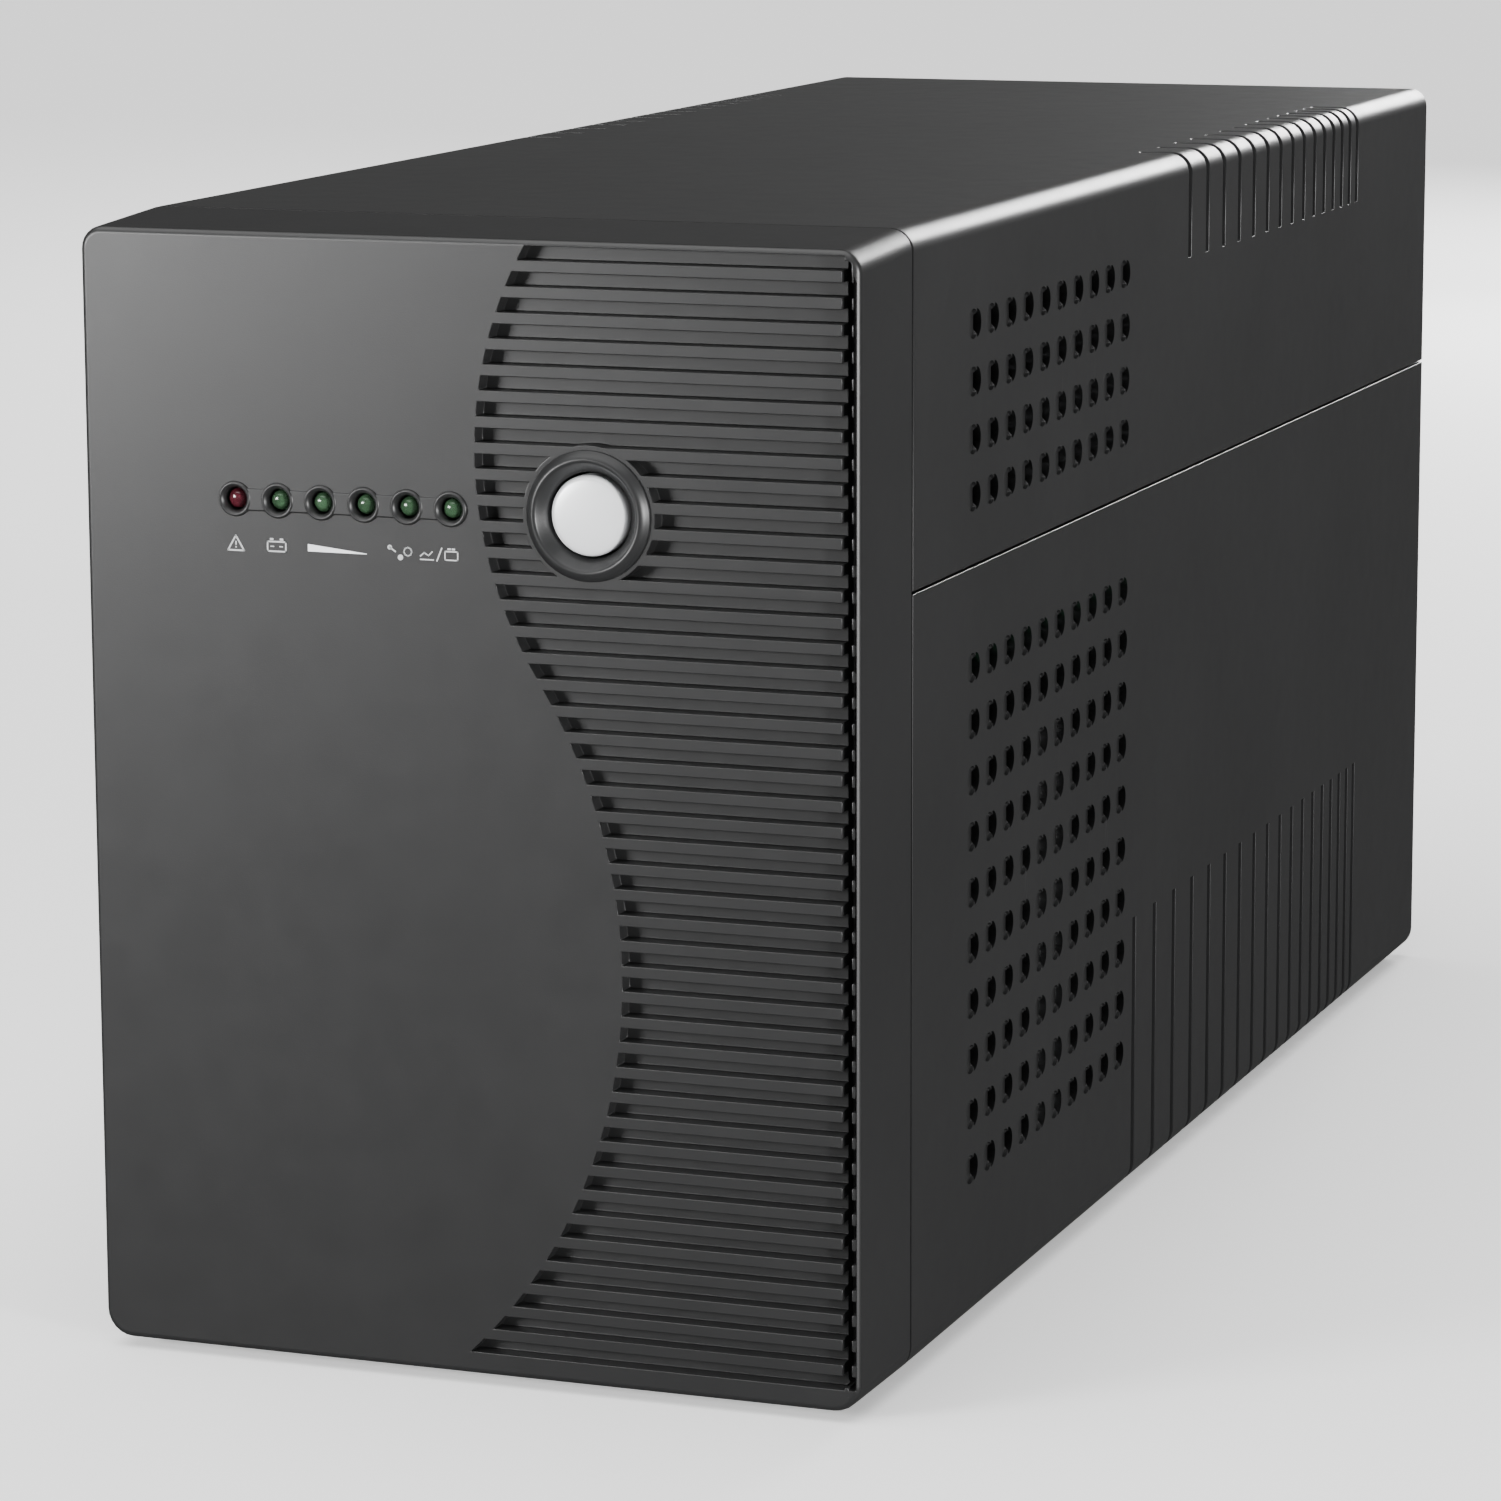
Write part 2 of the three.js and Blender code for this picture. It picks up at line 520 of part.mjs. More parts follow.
function fanRotor() {
  const [hubFront, hubBack] = [FAN_FRONT + 3, FAN_BACK - 5];
  const hub = rod(FAN.hub, hubFront, hubBack, FAN.x, FAN.z, 24);
  const shaft = rod(1.5, hubBack - 1, FAN_BACK - 1.5, FAN.x, FAN.z, 16);
  const span = FAN.blade - FAN.hub + 2;
  const blades = Array.from({ length: FAN.blades }, (_, i) => {
    const blade = new THREE.BoxGeometry(span, 1.6, 19);
    blade.rotateX(0.62).translate(FAN.hub - 2 + span / 2, (hubFront + hubBack) / 2, 0);
    blade.rotateY(i * Math.PI * 2 / FAN.blades);
    return solid(blade.translate(FAN.x, 0, FAN.z));
  });
  const sweep = rod(FAN.blade, hubFront - 1, hubBack + 1, FAN.x, FAN.z, 32);
  return joined([hub, shaft, joined(blades).intersect(sweep)]);
}

function fanGuard() {
  const seat = PANEL.back + CLEARANCE;
  const hoop = (radius) => {
    const [inner, outer, top] = [radius - 0.8, radius + 0.8, seat + 1.6];
    return turned([[inner, seat], [outer, seat], [outer, top], [inner, top], [inner, seat]],
      FAN.x, FAN.z, 16);
  };
  const hoops = [12, 24, 36].map(hoop);
  const spokes = [0, 1].map((i) => {
    const spoke = new THREE.BoxGeometry(2 * FAN_HOLE * Math.SQRT2, 1.2, 1.8);
    spoke.rotateY(Math.PI / 4 + i * Math.PI / 2);
    return solid(spoke.translate(FAN.x, seat + 0.8, FAN.z));
  });
  const ears = FAN_HOLES.map(([x, z]) => rod(4, seat, seat + 1.2, x, z, 8));
  return joined([...hoops, ...spokes, ...ears]);
}

// ---------------------------------------------------------------- inside
function battery(end) {
  const near = end * BATTERY.gap;
  const far = end * (BATTERY.gap + BATTERY.wide);
  const [x0, x1] = [Math.min(near, far), Math.max(near, far)];
  const [y0, y1] = [BATTERY.front, BATTERY.front + BATTERY.long];
  const low = BATTERY_LOW;
  const can = block(x0, x1, y0, y1, low, BATTERY_TOP - 4);
  const lid = block(x0 + 1.5, x1 - 1.5, y0 + 1.5, y1 - 1.5, BATTERY_TOP - 5, BATTERY_TOP);
  return can.add(lid);
}

const TERMINAL_Y = BATTERY.front + BATTERY.long - 12;
const terminalX = (end, side) => end * (BATTERY.gap + BATTERY.wide / 2) + side * 19;

function terminal(x) {
  const seat = BATTERY_TOP + CLEARANCE;
  const tab = bar(x, seat + 3.4, 6.3, 6.2, TERMINAL_Y - 0.4, TERMINAL_Y + 0.4);
  return tab.add(block(x - 4, x + 4, TERMINAL_Y - 3, TERMINAL_Y + 3, seat, seat + 0.8));
}

// A flat strap bent over the tops of both batteries, with a foot outside each of them.
function batteryStrap() {
  const leg = BATTERY.gap + BATTERY.wide + 0.6;
  const [thick, top] = [1.4, BATTERY_TOP + 0.4];
  const shape = new THREE.Shape();
  shape.moveTo(-leg - thick, FLOOR_INSIDE + CLEARANCE);
  shape.lineTo(-leg, FLOOR_INSIDE + CLEARANCE);
  shape.lineTo(-leg, top);
  shape.lineTo(leg, top);
  shape.lineTo(leg, FLOOR_INSIDE + CLEARANCE);
  shape.lineTo(leg + thick, FLOOR_INSIDE + CLEARANCE);
  shape.lineTo(leg + thick, top + thick);
  shape.lineTo(-leg - thick, top + thick);
  shape.closePath();
  return carried(shape, -100, -80);
}

function transformerCore() {
  const stack = block(-CORE.half, CORE.half, CORE.front, CORE.back, CORE.low, CORE.high);
  const windows = [-1, 1].map((end) => {
    const near = end * CORE.leg;
    const far = end * (CORE.leg + CORE.window);
    return block(Math.min(near, far), Math.max(near, far), CORE.front - 1, CORE.back + 1,
      CORE.low + CORE.window, CORE.high - CORE.window);
  });
  return without(stack, windows);
}

function transformerCoil() {
  const half = CORE.leg + CORE.window - 0.6;
  const [low, high] = [CORE.low + CORE.window + CLEARANCE, CORE.high - CORE.window - CLEARANCE];
  const reach = CORE.window - 1;
  const outline = new THREE.Shape();
  const [y0, y1, corner] = [CORE.front - reach, CORE.back + reach, 10];
  outline.moveTo(half, y0 + corner);
  outline.absarc(half - corner, y1 - corner, corner, 0, Math.PI / 2, false);
  outline.absarc(corner - half, y1 - corner, corner, Math.PI / 2, Math.PI, false);
  outline.absarc(corner - half, y0 + corner, corner, Math.PI, Math.PI * 1.5, false);
  outline.absarc(half - corner, y0 + corner, corner, Math.PI * 1.5, Math.PI * 2, false);
  const options = { depth: high - low, bevelEnabled: false, curveSegments: 4 };
  const bobbin = solid(new THREE.ExtrudeGeometry(outline, options).translate(0, 0, low));
  const leg = CORE.leg + CLEARANCE;
  const tunnel = [-leg, leg, CORE.front - CLEARANCE, CORE.back + CLEARANCE, low - 1, high + 1];
  return bobbin.subtract(block(...tunnel));
}

// A steel strap over the core with a foot on each side.
function transformerBracket() {
  const leg = CORE.half + 0.4;
  const [thick, toe, low] = [1.6, 67, FLOOR_INSIDE + CLEARANCE];
  const top = CORE.high + 0.4;
  const shape = new THREE.Shape();
  shape.moveTo(leg, low);
  shape.lineTo(toe, low);
  shape.lineTo(toe, low + thick);
  shape.lineTo(leg + thick, low + thick);
  shape.lineTo(leg + thick, top + thick);
  shape.lineTo(-leg - thick, top + thick);
  shape.lineTo(-leg - thick, low + thick);
  shape.lineTo(-toe, low + thick);
  shape.lineTo(-toe, low);
  shape.lineTo(-leg, low);
  shape.lineTo(-leg, top);
  shape.lineTo(leg, top);
  shape.closePath();
  return carried(shape, CORE.front + 12, CORE.back - 12);
}

const BOARD_TOP = BOARD.low + BOARD.thick;

function mainBoard() {
  return block(-BOARD.half, BOARD.half, BOARD.front, BOARD.back, BOARD.low, BOARD_TOP);
}

// An upright web with fins to one side, extruded along Y.
function heatSink(x, facing) {
  const [fins, web, reach, tall, fin] = [7, 4, 22, 52, 2];
  const seat = BOARD_TOP + CLEARANCE;
  const step = (tall - fin) / (fins - 1);
  const shape = new THREE.Shape();
  shape.moveTo(x, seat);
  for (let i = 0; i < fins; i += 1) {
    const z = seat + i * step;
    shape.lineTo(x + facing * reach, z);
    shape.lineTo(x + facing * reach, z + fin);
    if (i + 1 === fins) break;
    shape.lineTo(x + facing * web, z + fin);
    shape.lineTo(x + facing * web, z + step);
  }
  shape.lineTo(x, seat + tall);
  shape.closePath();
  return carried(shape, -120, -40);
}

const relay = (x, y) => block(x - 8, x + 8, y - 11, y + 11, BOARD_TOP + CLEARANCE, BOARD_TOP + 20);
const capacitor = (x, y) => post(11, BOARD_TOP + CLEARANCE, BOARD_TOP + 38, x, y, 16);

// Insulated leads, each run from a terminal to where it is fixed.
const LEAD = 1.8;
const LEAD_START = BATTERY_TOP + 8.8;
const LEAD_FOOT = BOARD_TOP + CLEARANCE + LEAD;

function riserLead(x, landingX) {
  const y = TERMINAL_Y;
  return wire([[x, y, LEAD_START], [x, y + 8, LEAD_START + 3.2], [x, y + 32, LEAD_START + 4],
    [(x + landingX) / 2, y + 44, BOARD_TOP + 8], [landingX, y + 34, BOARD_TOP + 16],
    [landingX, y + 20, BOARD_TOP + 8], [landingX, y + 18, LEAD_FOOT - LEAD + 0.1]], LEAD, 18);
}

function linkLead() {
  const [left, right] = [terminalX(-1, 1), terminalX(1, -1)];
  const y = TERMINAL_Y;
  return wire([[left, y, LEAD_START], [left + 5, y - 9, LEAD_START + 2.2], [0, y - 14, LEAD_START + 2.4],
    [right - 5, y - 9, LEAD_START + 2.2], [right, y, LEAD_START]], LEAD, 14);
}

// ---------------------------------------------------------------- the assembly
const ups = new THREE.Group();
ups.add(part('upper_casing', upperCasing(), BLACK_PLASTIC));
ups.add(part('lower_casing', lowerCasing(), BLACK_PLASTIC));
ups.add(part('front_bezel', frontBezel(), BLACK_PLASTIC));
ups.add(part('rear_panel', rearPanel(), PANEL_PAINT));
for (const [name, x, y] of FEET) ups.add(part(`foot_${name}`, foot(x, y), RUBBER));
PANEL_SCREWS.forEach(([x, z], i) => ups.add(part(`panel_screw_${i + 1}`, panelScrew(x, z), STEEL)));

ups.add(part('button_ring', buttonRing(), RING_PLASTIC));
ups.add(part('power_button', powerButton(), SILVER_CAP));
ups.add(part('button_spring', buttonSpring(), STEEL));
ups.add(part('button_switch', buttonSwitch(), SOCKET_PLASTIC));
ups.add(part('control_board', controlBoard(), CIRCUIT_BOARD));
for (const i of lamps) {
  ups.add(part(`indicator_lens_${i + 1}`, lampLens(lampX(i)), i === 0 ? RED_LENS : GREEN_LENS));
}

ups.add(part('mains_inlet', mainsInlet(), SOCKET_PLASTIC));
OUTLET_Z.forEach((z, row) => OUTLET_X.forEach((x, column) => {
  ups.add(part(`outlet_${row * OUTLET_X.length + column + 1}`, outlet(x, z), SOCKET_PLASTIC));
}));
ups.add(part('circuit_breaker', circuitBreaker(), SOCKET_PLASTIC));
ups.add(part('breaker_button', breakerButton(), SILVER_CAP));
ups.add(part('data_ports', dataPorts(), SOCKET_PLASTIC));
ups.add(part('usb_port', usbPort(), STEEL));
ups.add(part('fan_frame', fanFrame(), SOCKET_PLASTIC));
ups.add(part('fan_rotor', fanRotor(), SOCKET_PLASTIC));
ups.add(part('fan_guard', fanGuard(), STEEL));

[-1, 1].forEach((end, i) => {
  ups.add(part(`battery_${i + 1}`, battery(end), BATTERY_CASE));
  [-1, 1].forEach((side, j) => {
    ups.add(part(`battery_terminal_${2 * i + j + 1}`, terminal(terminalX(end, side)), BRASS));
  });
});
ups.add(part('battery_strap', batteryStrap(), STEEL));
ups.add(part('battery_link_lead', linkLead(), BLACK_WIRE));
ups.add(part('negative_lead', riserLead(terminalX(-1, -1), -30), BLACK_WIRE));
ups.add(part('positive_lead', riserLead(terminalX(1, 1), 30), RED_WIRE));
ups.add(part('transformer_core', transformerCore(), CORE_LACQUER));
ups.add(part('transformer_coil', transformerCoil(), WINDING));
ups.add(part('transformer_bracket', transformerBracket(), STEEL));
ups.add(part('main_board', mainBoard(), CIRCUIT_BOARD));
ups.add(part('heat_sink_left', heatSink(-34, -1), ALUMINIUM));
ups.add(part('heat_sink_right', heatSink(34, 1), ALUMINIUM));
[[-16, -132], [16, -132], [0, -104]].forEach(([x, y], i) => {
  ups.add(part(`relay_${i + 1}`, relay(x, y), RELAY_CASE));
});
[[-13, -62], [13, -62]].forEach(([x, y], i) => {
  ups.add(part(`capacitor_${i + 1}`, capacitor(x, y), CAN_SLEEVE));
});

export default ups;
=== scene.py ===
"""The looks of a tower uninterruptible power supply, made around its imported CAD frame.

Lengths in this script are millimetres unless a name says otherwise, and MM turns them into metres.
The front faces -Y, +X is its right side seen from the front, and Z is up from the floor.
"""
import math
from contextlib import contextmanager

import bmesh
import bpy
from mathutils import Matrix, Vector


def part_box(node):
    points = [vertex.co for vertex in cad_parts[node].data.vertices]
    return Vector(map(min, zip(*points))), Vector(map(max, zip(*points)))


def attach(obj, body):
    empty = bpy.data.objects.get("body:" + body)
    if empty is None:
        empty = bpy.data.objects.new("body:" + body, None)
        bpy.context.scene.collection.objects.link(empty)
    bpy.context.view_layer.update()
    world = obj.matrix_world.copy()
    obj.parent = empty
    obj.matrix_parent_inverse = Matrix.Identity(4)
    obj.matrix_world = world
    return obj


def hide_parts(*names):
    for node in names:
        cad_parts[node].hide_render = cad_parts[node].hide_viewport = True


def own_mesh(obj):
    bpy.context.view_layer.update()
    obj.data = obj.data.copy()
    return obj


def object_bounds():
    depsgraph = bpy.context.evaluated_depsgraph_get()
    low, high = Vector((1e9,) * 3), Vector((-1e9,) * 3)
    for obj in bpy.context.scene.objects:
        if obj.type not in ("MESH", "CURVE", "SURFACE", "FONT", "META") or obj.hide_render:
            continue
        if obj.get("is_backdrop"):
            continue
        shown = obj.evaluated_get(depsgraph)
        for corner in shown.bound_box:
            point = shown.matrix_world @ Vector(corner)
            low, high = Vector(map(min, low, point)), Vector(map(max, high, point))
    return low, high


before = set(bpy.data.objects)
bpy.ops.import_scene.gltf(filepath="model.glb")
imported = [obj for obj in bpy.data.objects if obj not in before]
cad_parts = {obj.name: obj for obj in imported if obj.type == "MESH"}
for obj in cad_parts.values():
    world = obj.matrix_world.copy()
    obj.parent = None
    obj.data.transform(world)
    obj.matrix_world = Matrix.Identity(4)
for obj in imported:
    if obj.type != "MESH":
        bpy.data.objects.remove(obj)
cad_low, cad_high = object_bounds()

MM = 0.001

# ---------------------------------------------------------------- sizes taken from the frame


def extents(node):
    """A CAD node's lowest and highest corners."""
    low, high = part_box(node)
    return Vector(low) / MM, Vector(high) / MM


def spread(centre, size):
    """The limits of a length about a centre."""
    return centre - size / 2, centre + size / 2


def centre_of(node):
    low, high = extents(node)
    return (low + high) / 2


OUTLETS = [f"outlet_{i}" for i in range(1, 7)]
SCREWS = [f"panel_screw_{i}" for i in range(1, 5)]
SIDE = cad_high.x / MM
HEIGHT = cad_high.z / MM
REAR = cad_high.y / MM
EYELET_PROUD = 0.5
BEZEL_LOW = extents("front_bezel")[0]
FRONT = BEZEL_LOW.y + EYELET_PROUD
FLOOR = BEZEL_LOW.z
CASING_FRONT = extents("upper_casing")[0].y
UPPER_LOW = extents("upper_casing")[0].z
BEZEL_BACK = CASING_FRONT - 0.8
SEAM_Z = UPPER_LOW - 0.4
UPPER_LOW, LOWER_HIGH = SEAM_Z + 0.25, SEAM_Z - 0.25
WALL = 2.6
EDGE_RADIUS = 4
BOTTOM_RADIUS = 5
PANEL_LOW, PANEL_HIGH = extents("rear_panel")
PANEL_FRONT, PANEL_BACK = PANEL_LOW.y, PANEL_HIGH.y

# Front: louvres with an S-shaped left edge, made of two arcs that touch.
LOUVRES = 44
LOUVRE_FIRST, LOUVRE_PITCH = 201.4, 4.512
LOUVRE_HEIGHT, LOUVRE_DEPTH = 2.5, 3.4
CREST_X, CREST_Z, CREST_RADIUS = 2.3, 166.6, 72.3
BULGE_X, BULGE_Z, BULGE_RADIUS = 28.9, 75.5, 96.5
ARCS_MEET = BULGE_Z + (CREST_Z - BULGE_Z) * BULGE_RADIUS / (CREST_RADIUS + BULGE_RADIUS)
TROUGH_LEFT, TROUGH_RIGHT, TROUGH_DEPTH = 69.3, 71, 5.8
POCKET_RIGHT = 71.7
SIDE_TAPER, TOP_TAPER, BOTTOM_TAPER = 0.5, 1.4, 0
PAD_RADIUS = 12.2

# Front: indicators and button, all on one line.
CONTROL_Z = 156.7
LAMPS, LAMP_FIRST, LAMP_PITCH, LAMP_RADIUS = 6, -43.3, 8.19, 1.85
EYELET_RADIUS = 3.15
BUTTON_X = 23.3
SYMBOL_Z = 148.8

# Casings: round vents and two fields of upright grooves at the rear.
VENT_COLUMNS, VENT_PITCH = 10, 10.28
VENT_FIRST, VENT_TOP = FRONT + 59.4, 185.3
VENT_RADIUS, VENT_DEPTH = 2.7, 0.9
UPPER_ROWS, LOWER_ROWS = range(0, 4), range(6, 16)
GROOVE_WIDTH, GROOVE_DEPTH = 2.4, 1.5


# ---------------------------------------------------------------- ways of working
def only(*pieces):
    """Selects these pieces and nothing else, with the last one active."""
    bpy.ops.object.select_all(action="DESELECT")
    for piece in pieces:
        piece.select_set(True)
    bpy.context.view_layer.objects.active = pieces[-1]


def settled(name):
    """Names the newest piece and puts its place, turn and scale into its mesh."""
    piece = bpy.context.object
    piece.name = piece.data.name = name
    bpy.ops.object.transform_apply(location=True, rotation=True, scale=True)
    return piece


def block(name, x, y, z):
    """A box from its two limits along each axis."""
    bpy.ops.object.select_all(action="DESELECT")
    centre = [sum(pair) / 2 * MM for pair in (x, y, z)]
    size = [(pair[1] - pair[0]) * MM for pair in (x, y, z)]
    bpy.ops.mesh.primitive_cube_add(size=1, location=centre, scale=size)
    return settled(name)


def rod(name, radius, y, x, z, sides=48):
    """A round rod along Y between its two limits, centred on x and z."""
    bpy.ops.object.select_all(action="DESELECT")
    bpy.ops.mesh.primitive_cylinder_add(
        vertices=sides, radius=radius * MM, depth=(y[1] - y[0]) * MM,
        location=(x * MM, sum(y) / 2 * MM, z * MM), rotation=(math.pi / 2, 0, 0))
    return settled(name)


def middle(item):
    """The middle of a vertex, edge or face being edited, in millimetres."""
    corners = [item] if isinstance(item, bmesh.types.BMVert) else item.verts
    return sum((corner.co for corner in corners), Vector()) / len(corners) / MM


def lies_along(edge, axis):
    """True if an edge runs along an axis: 0, 1 or 2."""
    run = edge.verts[1].co - edge.verts[0].co
    return abs(run[axis]) > 0.9 * run.length


@contextmanager
def editing(piece, kind, test):
    """Edit mode on a piece, with the vertices, edges or faces that pass a test selected."""
    only(piece)
    bpy.ops.object.mode_set(mode="EDIT")
    bpy.ops.mesh.select_mode(type=kind)
    bpy.ops.mesh.select_all(action="DESELECT")
    mesh = bmesh.from_edit_mesh(piece.data)
    for item in {"VERT": mesh.verts, "EDGE": mesh.edges, "FACE": mesh.faces}[kind]:
        if test(item):
            item.select_set(True)
    mesh.select_flush_mode()
    bmesh.update_edit_mesh(piece.data)
    yield piece
    bpy.ops.object.mode_set(mode="OBJECT")


def rounded(piece, radius, test, segments=6):
    """Rounds the edges of a piece that pass a test."""
    with editing(piece, "EDGE", test):
        bpy.ops.mesh.bevel(offset=radius * MM, segments=segments, profile=0.5, affect="EDGES")
    return piece


def applied(piece, kind, **settings):
    """Adds a modifier to a piece and applies it."""
    modifier = piece.modifiers.new("work", kind)
    for name, value in settings.items():
        setattr(modifier, name, value)
    only(piece)
    bpy.ops.object.modifier_apply(modifier="work")
    return piece


def joined(pieces):
    """Several pieces as one, with the first one's name."""
    if len(pieces) > 1:
        only(*pieces[1:], pieces[0])
        bpy.ops.object.join()
    return pieces[0]


def combined(piece, tools, operation):
    tool = joined(tools)
    applied(piece, "BOOLEAN", operation=operation, object=tool, solver="EXACT")
    bpy.data.meshes.remove(tool.data)
    return piece


def cut(piece, tools):
    """Cuts tools out of a piece. Tools given together don't touch each other."""
    return combined(piece, tools, "DIFFERENCE")


def welded(piece, tools):
    return combined(piece, tools, "UNION")


def copied(piece, name, shift):
    """A copy of a piece with its own mesh, moved by millimetres."""
    twin = piece.copy()
    twin.data = piece.data.copy()
    twin.name = twin.data.name = name
    bpy.context.scene.collection.objects.link(twin)
    twin.data.transform(Matrix.Translation(Vector(shift) * MM))
    return twin


def row_of(piece, shifts):
    """A piece and its copies at each shift, the piece itself being used up."""
    copies = [copied(piece, f"{piece.name}_{i}", shift) for i, shift in enumerate(shifts)]
    bpy.data.meshes.remove(piece.data)
    return copies


def softened(piece, width, segments=2, angle=32):
    """Rounds every sharp edge of a piece a little and shades it smoothly between its flats."""
    applied(piece, "BEVEL", width=width * MM, segments=segments, limit_method="ANGLE",
            angle_limit=math.radians(angle), use_clamp_overlap=False)
    return smooth(piece)


def smooth(piece, angle=50):
    only(piece)
    bpy.ops.object.shade_smooth_by_angle(angle=math.radians(angle))
    return applied(piece, "WEIGHTED_NORMAL", mode="FACE_AREA", keep_sharp=True)


def tidied(piece):
    """Merges a piece's doubled vertices and turns its faces outwards."""
    with editing(piece, "FACE", lambda face: True):
        bpy.ops.mesh.remove_doubles(threshold=0.001 * MM)
        bpy.ops.mesh.normals_make_consistent(inside=False)
    return piece


def turned(name, profile, x, z, sides=48):
    """A solid turned about an axis along Y through x and z, from points of (radius, y).

    The profile starts and ends on the axis, at radius 0, or closes on itself, and y rises along
    its outer side.
    """
    rings = [point for point in profile if point[0] > 0]
    radius, y = rings[0]
    bpy.ops.object.select_all(action="DESELECT")
    bpy.ops.mesh.primitive_circle_add(
        vertices=sides, radius=radius * MM, fill_type="NOTHING",
        location=(x * MM, y * MM, z * MM), rotation=(math.pi / 2, 0, 0))
    piece = settled(name)
    with editing(piece, "EDGE", lambda edge: True):
        for (radius, y), (next_radius, next_y) in zip(rings, rings[1:]):
            bpy.ops.mesh.extrude_region_move(
                TRANSFORM_OT_translate={"value": (0, (next_y - y) * MM, 0)})
            bpy.ops.transform.resize(value=(next_radius / radius, 1, next_radius / radius),
                                     center_override=(x * MM, next_y * MM, z * MM))
        if profile[-1][0] == 0:
            cap_ring(rings[-1][1], profile[-1][1])
    if profile[0][0] == 0:
        near = lambda edge: edge.is_boundary
        with editing(piece, "EDGE", near):
            cap_ring(rings[0][1], profile[0][1])
    return tidied(piece)


def cap_ring(ring_y, tip_y):
    """Closes the selected ring of edges with a fan of faces to a point on the axis."""
    bpy.ops.mesh.extrude_region_move(
        TRANSFORM_OT_translate={"value": (0, (tip_y - ring_y) * MM, 0)})
    bpy.ops.mesh.merge(type="CENTER")


# ---------------------------------------------------------------- finishes
class Finish:
    """A material under construction: nodes are added by their kind and wired by name."""

    def __init__(self, name, color, roughness, **settings):
        self.material = bpy.data.materials.new(name)
        self.material.use_nodes = True
        self.nodes = self.material.node_tree.nodes
        self.links = self.material.node_tree.links
        self.shader = self.nodes["Principled BSDF"]
        self.shader.inputs["Base Color"].default_value = (*color, 1)
        self.shader.inputs["Roughness"].default_value = roughness
        for name, value in settings.items():
            self.shader.inputs[name.replace("_", " ")].default_value = value
        self.place = self.nodes.new("ShaderNodeTexCoord").outputs["Object"]
        self.heights = []

    def stretched(self, scale):
        """The place on the piece, scaled differently along each axis."""
        mapping = self.nodes.new("ShaderNodeMapping")
        mapping.inputs["Scale"].default_value = scale
        self.links.new(self.place, mapping.inputs["Vector"])
        return mapping.outputs["Vector"]

    def noise(self, scale, detail=3, rough=0.55, place=None):
        texture = self.nodes.new("ShaderNodeTexNoise")
        texture.inputs["Scale"].default_value = scale
        texture.inputs["Detail"].default_value = detail
        texture.inputs["Roughness"].default_value = rough
        self.links.new(place or self.place, texture.inputs["Vector"])
        return texture.outputs["Fac"]

    def ranged(self, value, low, high, start=0.3, end=0.7):
        """A value spread from one range onto another."""
        spread = self.nodes.new("ShaderNodeMapRange")
        for name, number in (("From Min", start), ("From Max", end), ("To Min", low), ("To Max", high)):
            spread.inputs[name].default_value = number
        self.links.new(value, spread.inputs["Value"])
        return spread.outputs["Result"]

    def blended(self, factor, first, second):
        """A colour that runs from one to another by a factor."""
        mix = self.nodes.new("ShaderNodeMix")
        mix.data_type = "RGBA"
        self.links.new(factor, mix.inputs[0])
        mix.inputs[6].default_value = (*first, 1)
        mix.inputs[7].default_value = (*second, 1)
        return mix.outputs[2]

    def into(self, socket, value):
        self.links.new(value, self.shader.inputs[socket])
        return self

    def bump(self, height, distance, strength=1.0):
        """A relief of the given depth in millimetres, over any earlier one."""
        node = self.nodes.new("ShaderNodeBump")
        node.inputs["Strength"].default_value = strength
        node.inputs["Distance"].default_value = distance * MM
        self.links.new(height, node.inputs["Height"])
        if self.heights:
            self.links.new(self.heights[-1], node.inputs["Normal"])
        self.heights.append(node.outputs["Normal"])
        self.links.new(node.outputs["Normal"], self.shader.inputs["Normal"])
        return self


def moulded(name, color, roughness, grain=0.012, **settings):
    """Moulded plastic: a fine spark-eroded grain, slow waves of gloss and faint dust."""
    finish = Finish(name, color, roughness, **settings)
    patches = finish.noise(14, 4)
    lighter = tuple(min(1, c * 1.1 + 0.001) for c in color)
    finish.into("Base Color", finish.blended(finish.ranged(patches, 0, 1), color, lighter))
    finish.into("Roughness", finish.ranged(finish.noise(160, 4), roughness - 0.015, roughness + 0.02))
    finish.bump(finish.noise(5200, 2, 0.6), grain)
    return finish.material


def metal(name, color, roughness, brush=(60, 3000, 60), relief=0.006):
    """Metal with fine parallel scratches."""
    finish = Finish(name, color, roughness, Metallic=1.0)
    streaks = finish.noise(1, 4, place=finish.stretched(brush))
    finish.into("Roughness", finish.ranged(streaks, roughness - 0.1, roughness + 0.14))
    darker = tuple(c * 0.82 for c in color)
    finish.into("Base Color", finish.blended(finish.ranged(finish.noise(70), 0, 1), color, darker))
    finish.bump(streaks, relief)
    return finish.material


CASING = moulded("black_satin_plastic", (0.0105, 0.0106, 0.0108), 0.37, Specular_IOR_Level=0.4)
RING = moulded("ring_plastic", (0.011, 0.0112, 0.0115), 0.38, grain=0.007, Specular_IOR_Level=0.35)
SOCKET = moulded("socket_plastic", (0.013, 0.013, 0.014), 0.42, grain=0.008)
SILVER = moulded("silver_paint", (0.60, 0.61, 0.62), 0.33, grain=0.004, Metallic=0.25)
PRINT = moulded("white_print", (0.62, 0.63, 0.64), 0.5, grain=0.003)
DIM_PRINT = moulded("grey_print", (0.34, 0.345, 0.35), 0.5, grain=0.003)
RUBBER = moulded("foot_rubber", (0.012, 0.012, 0.012), 0.8, grain=0.03)
STEEL = metal("zinc_steel", (0.56, 0.57, 0.58), 0.34)
BRASS = metal("brass", (0.66, 0.48, 0.2), 0.3)
ALUMINIUM = metal("aluminium", (0.68, 0.69, 0.71), 0.32)


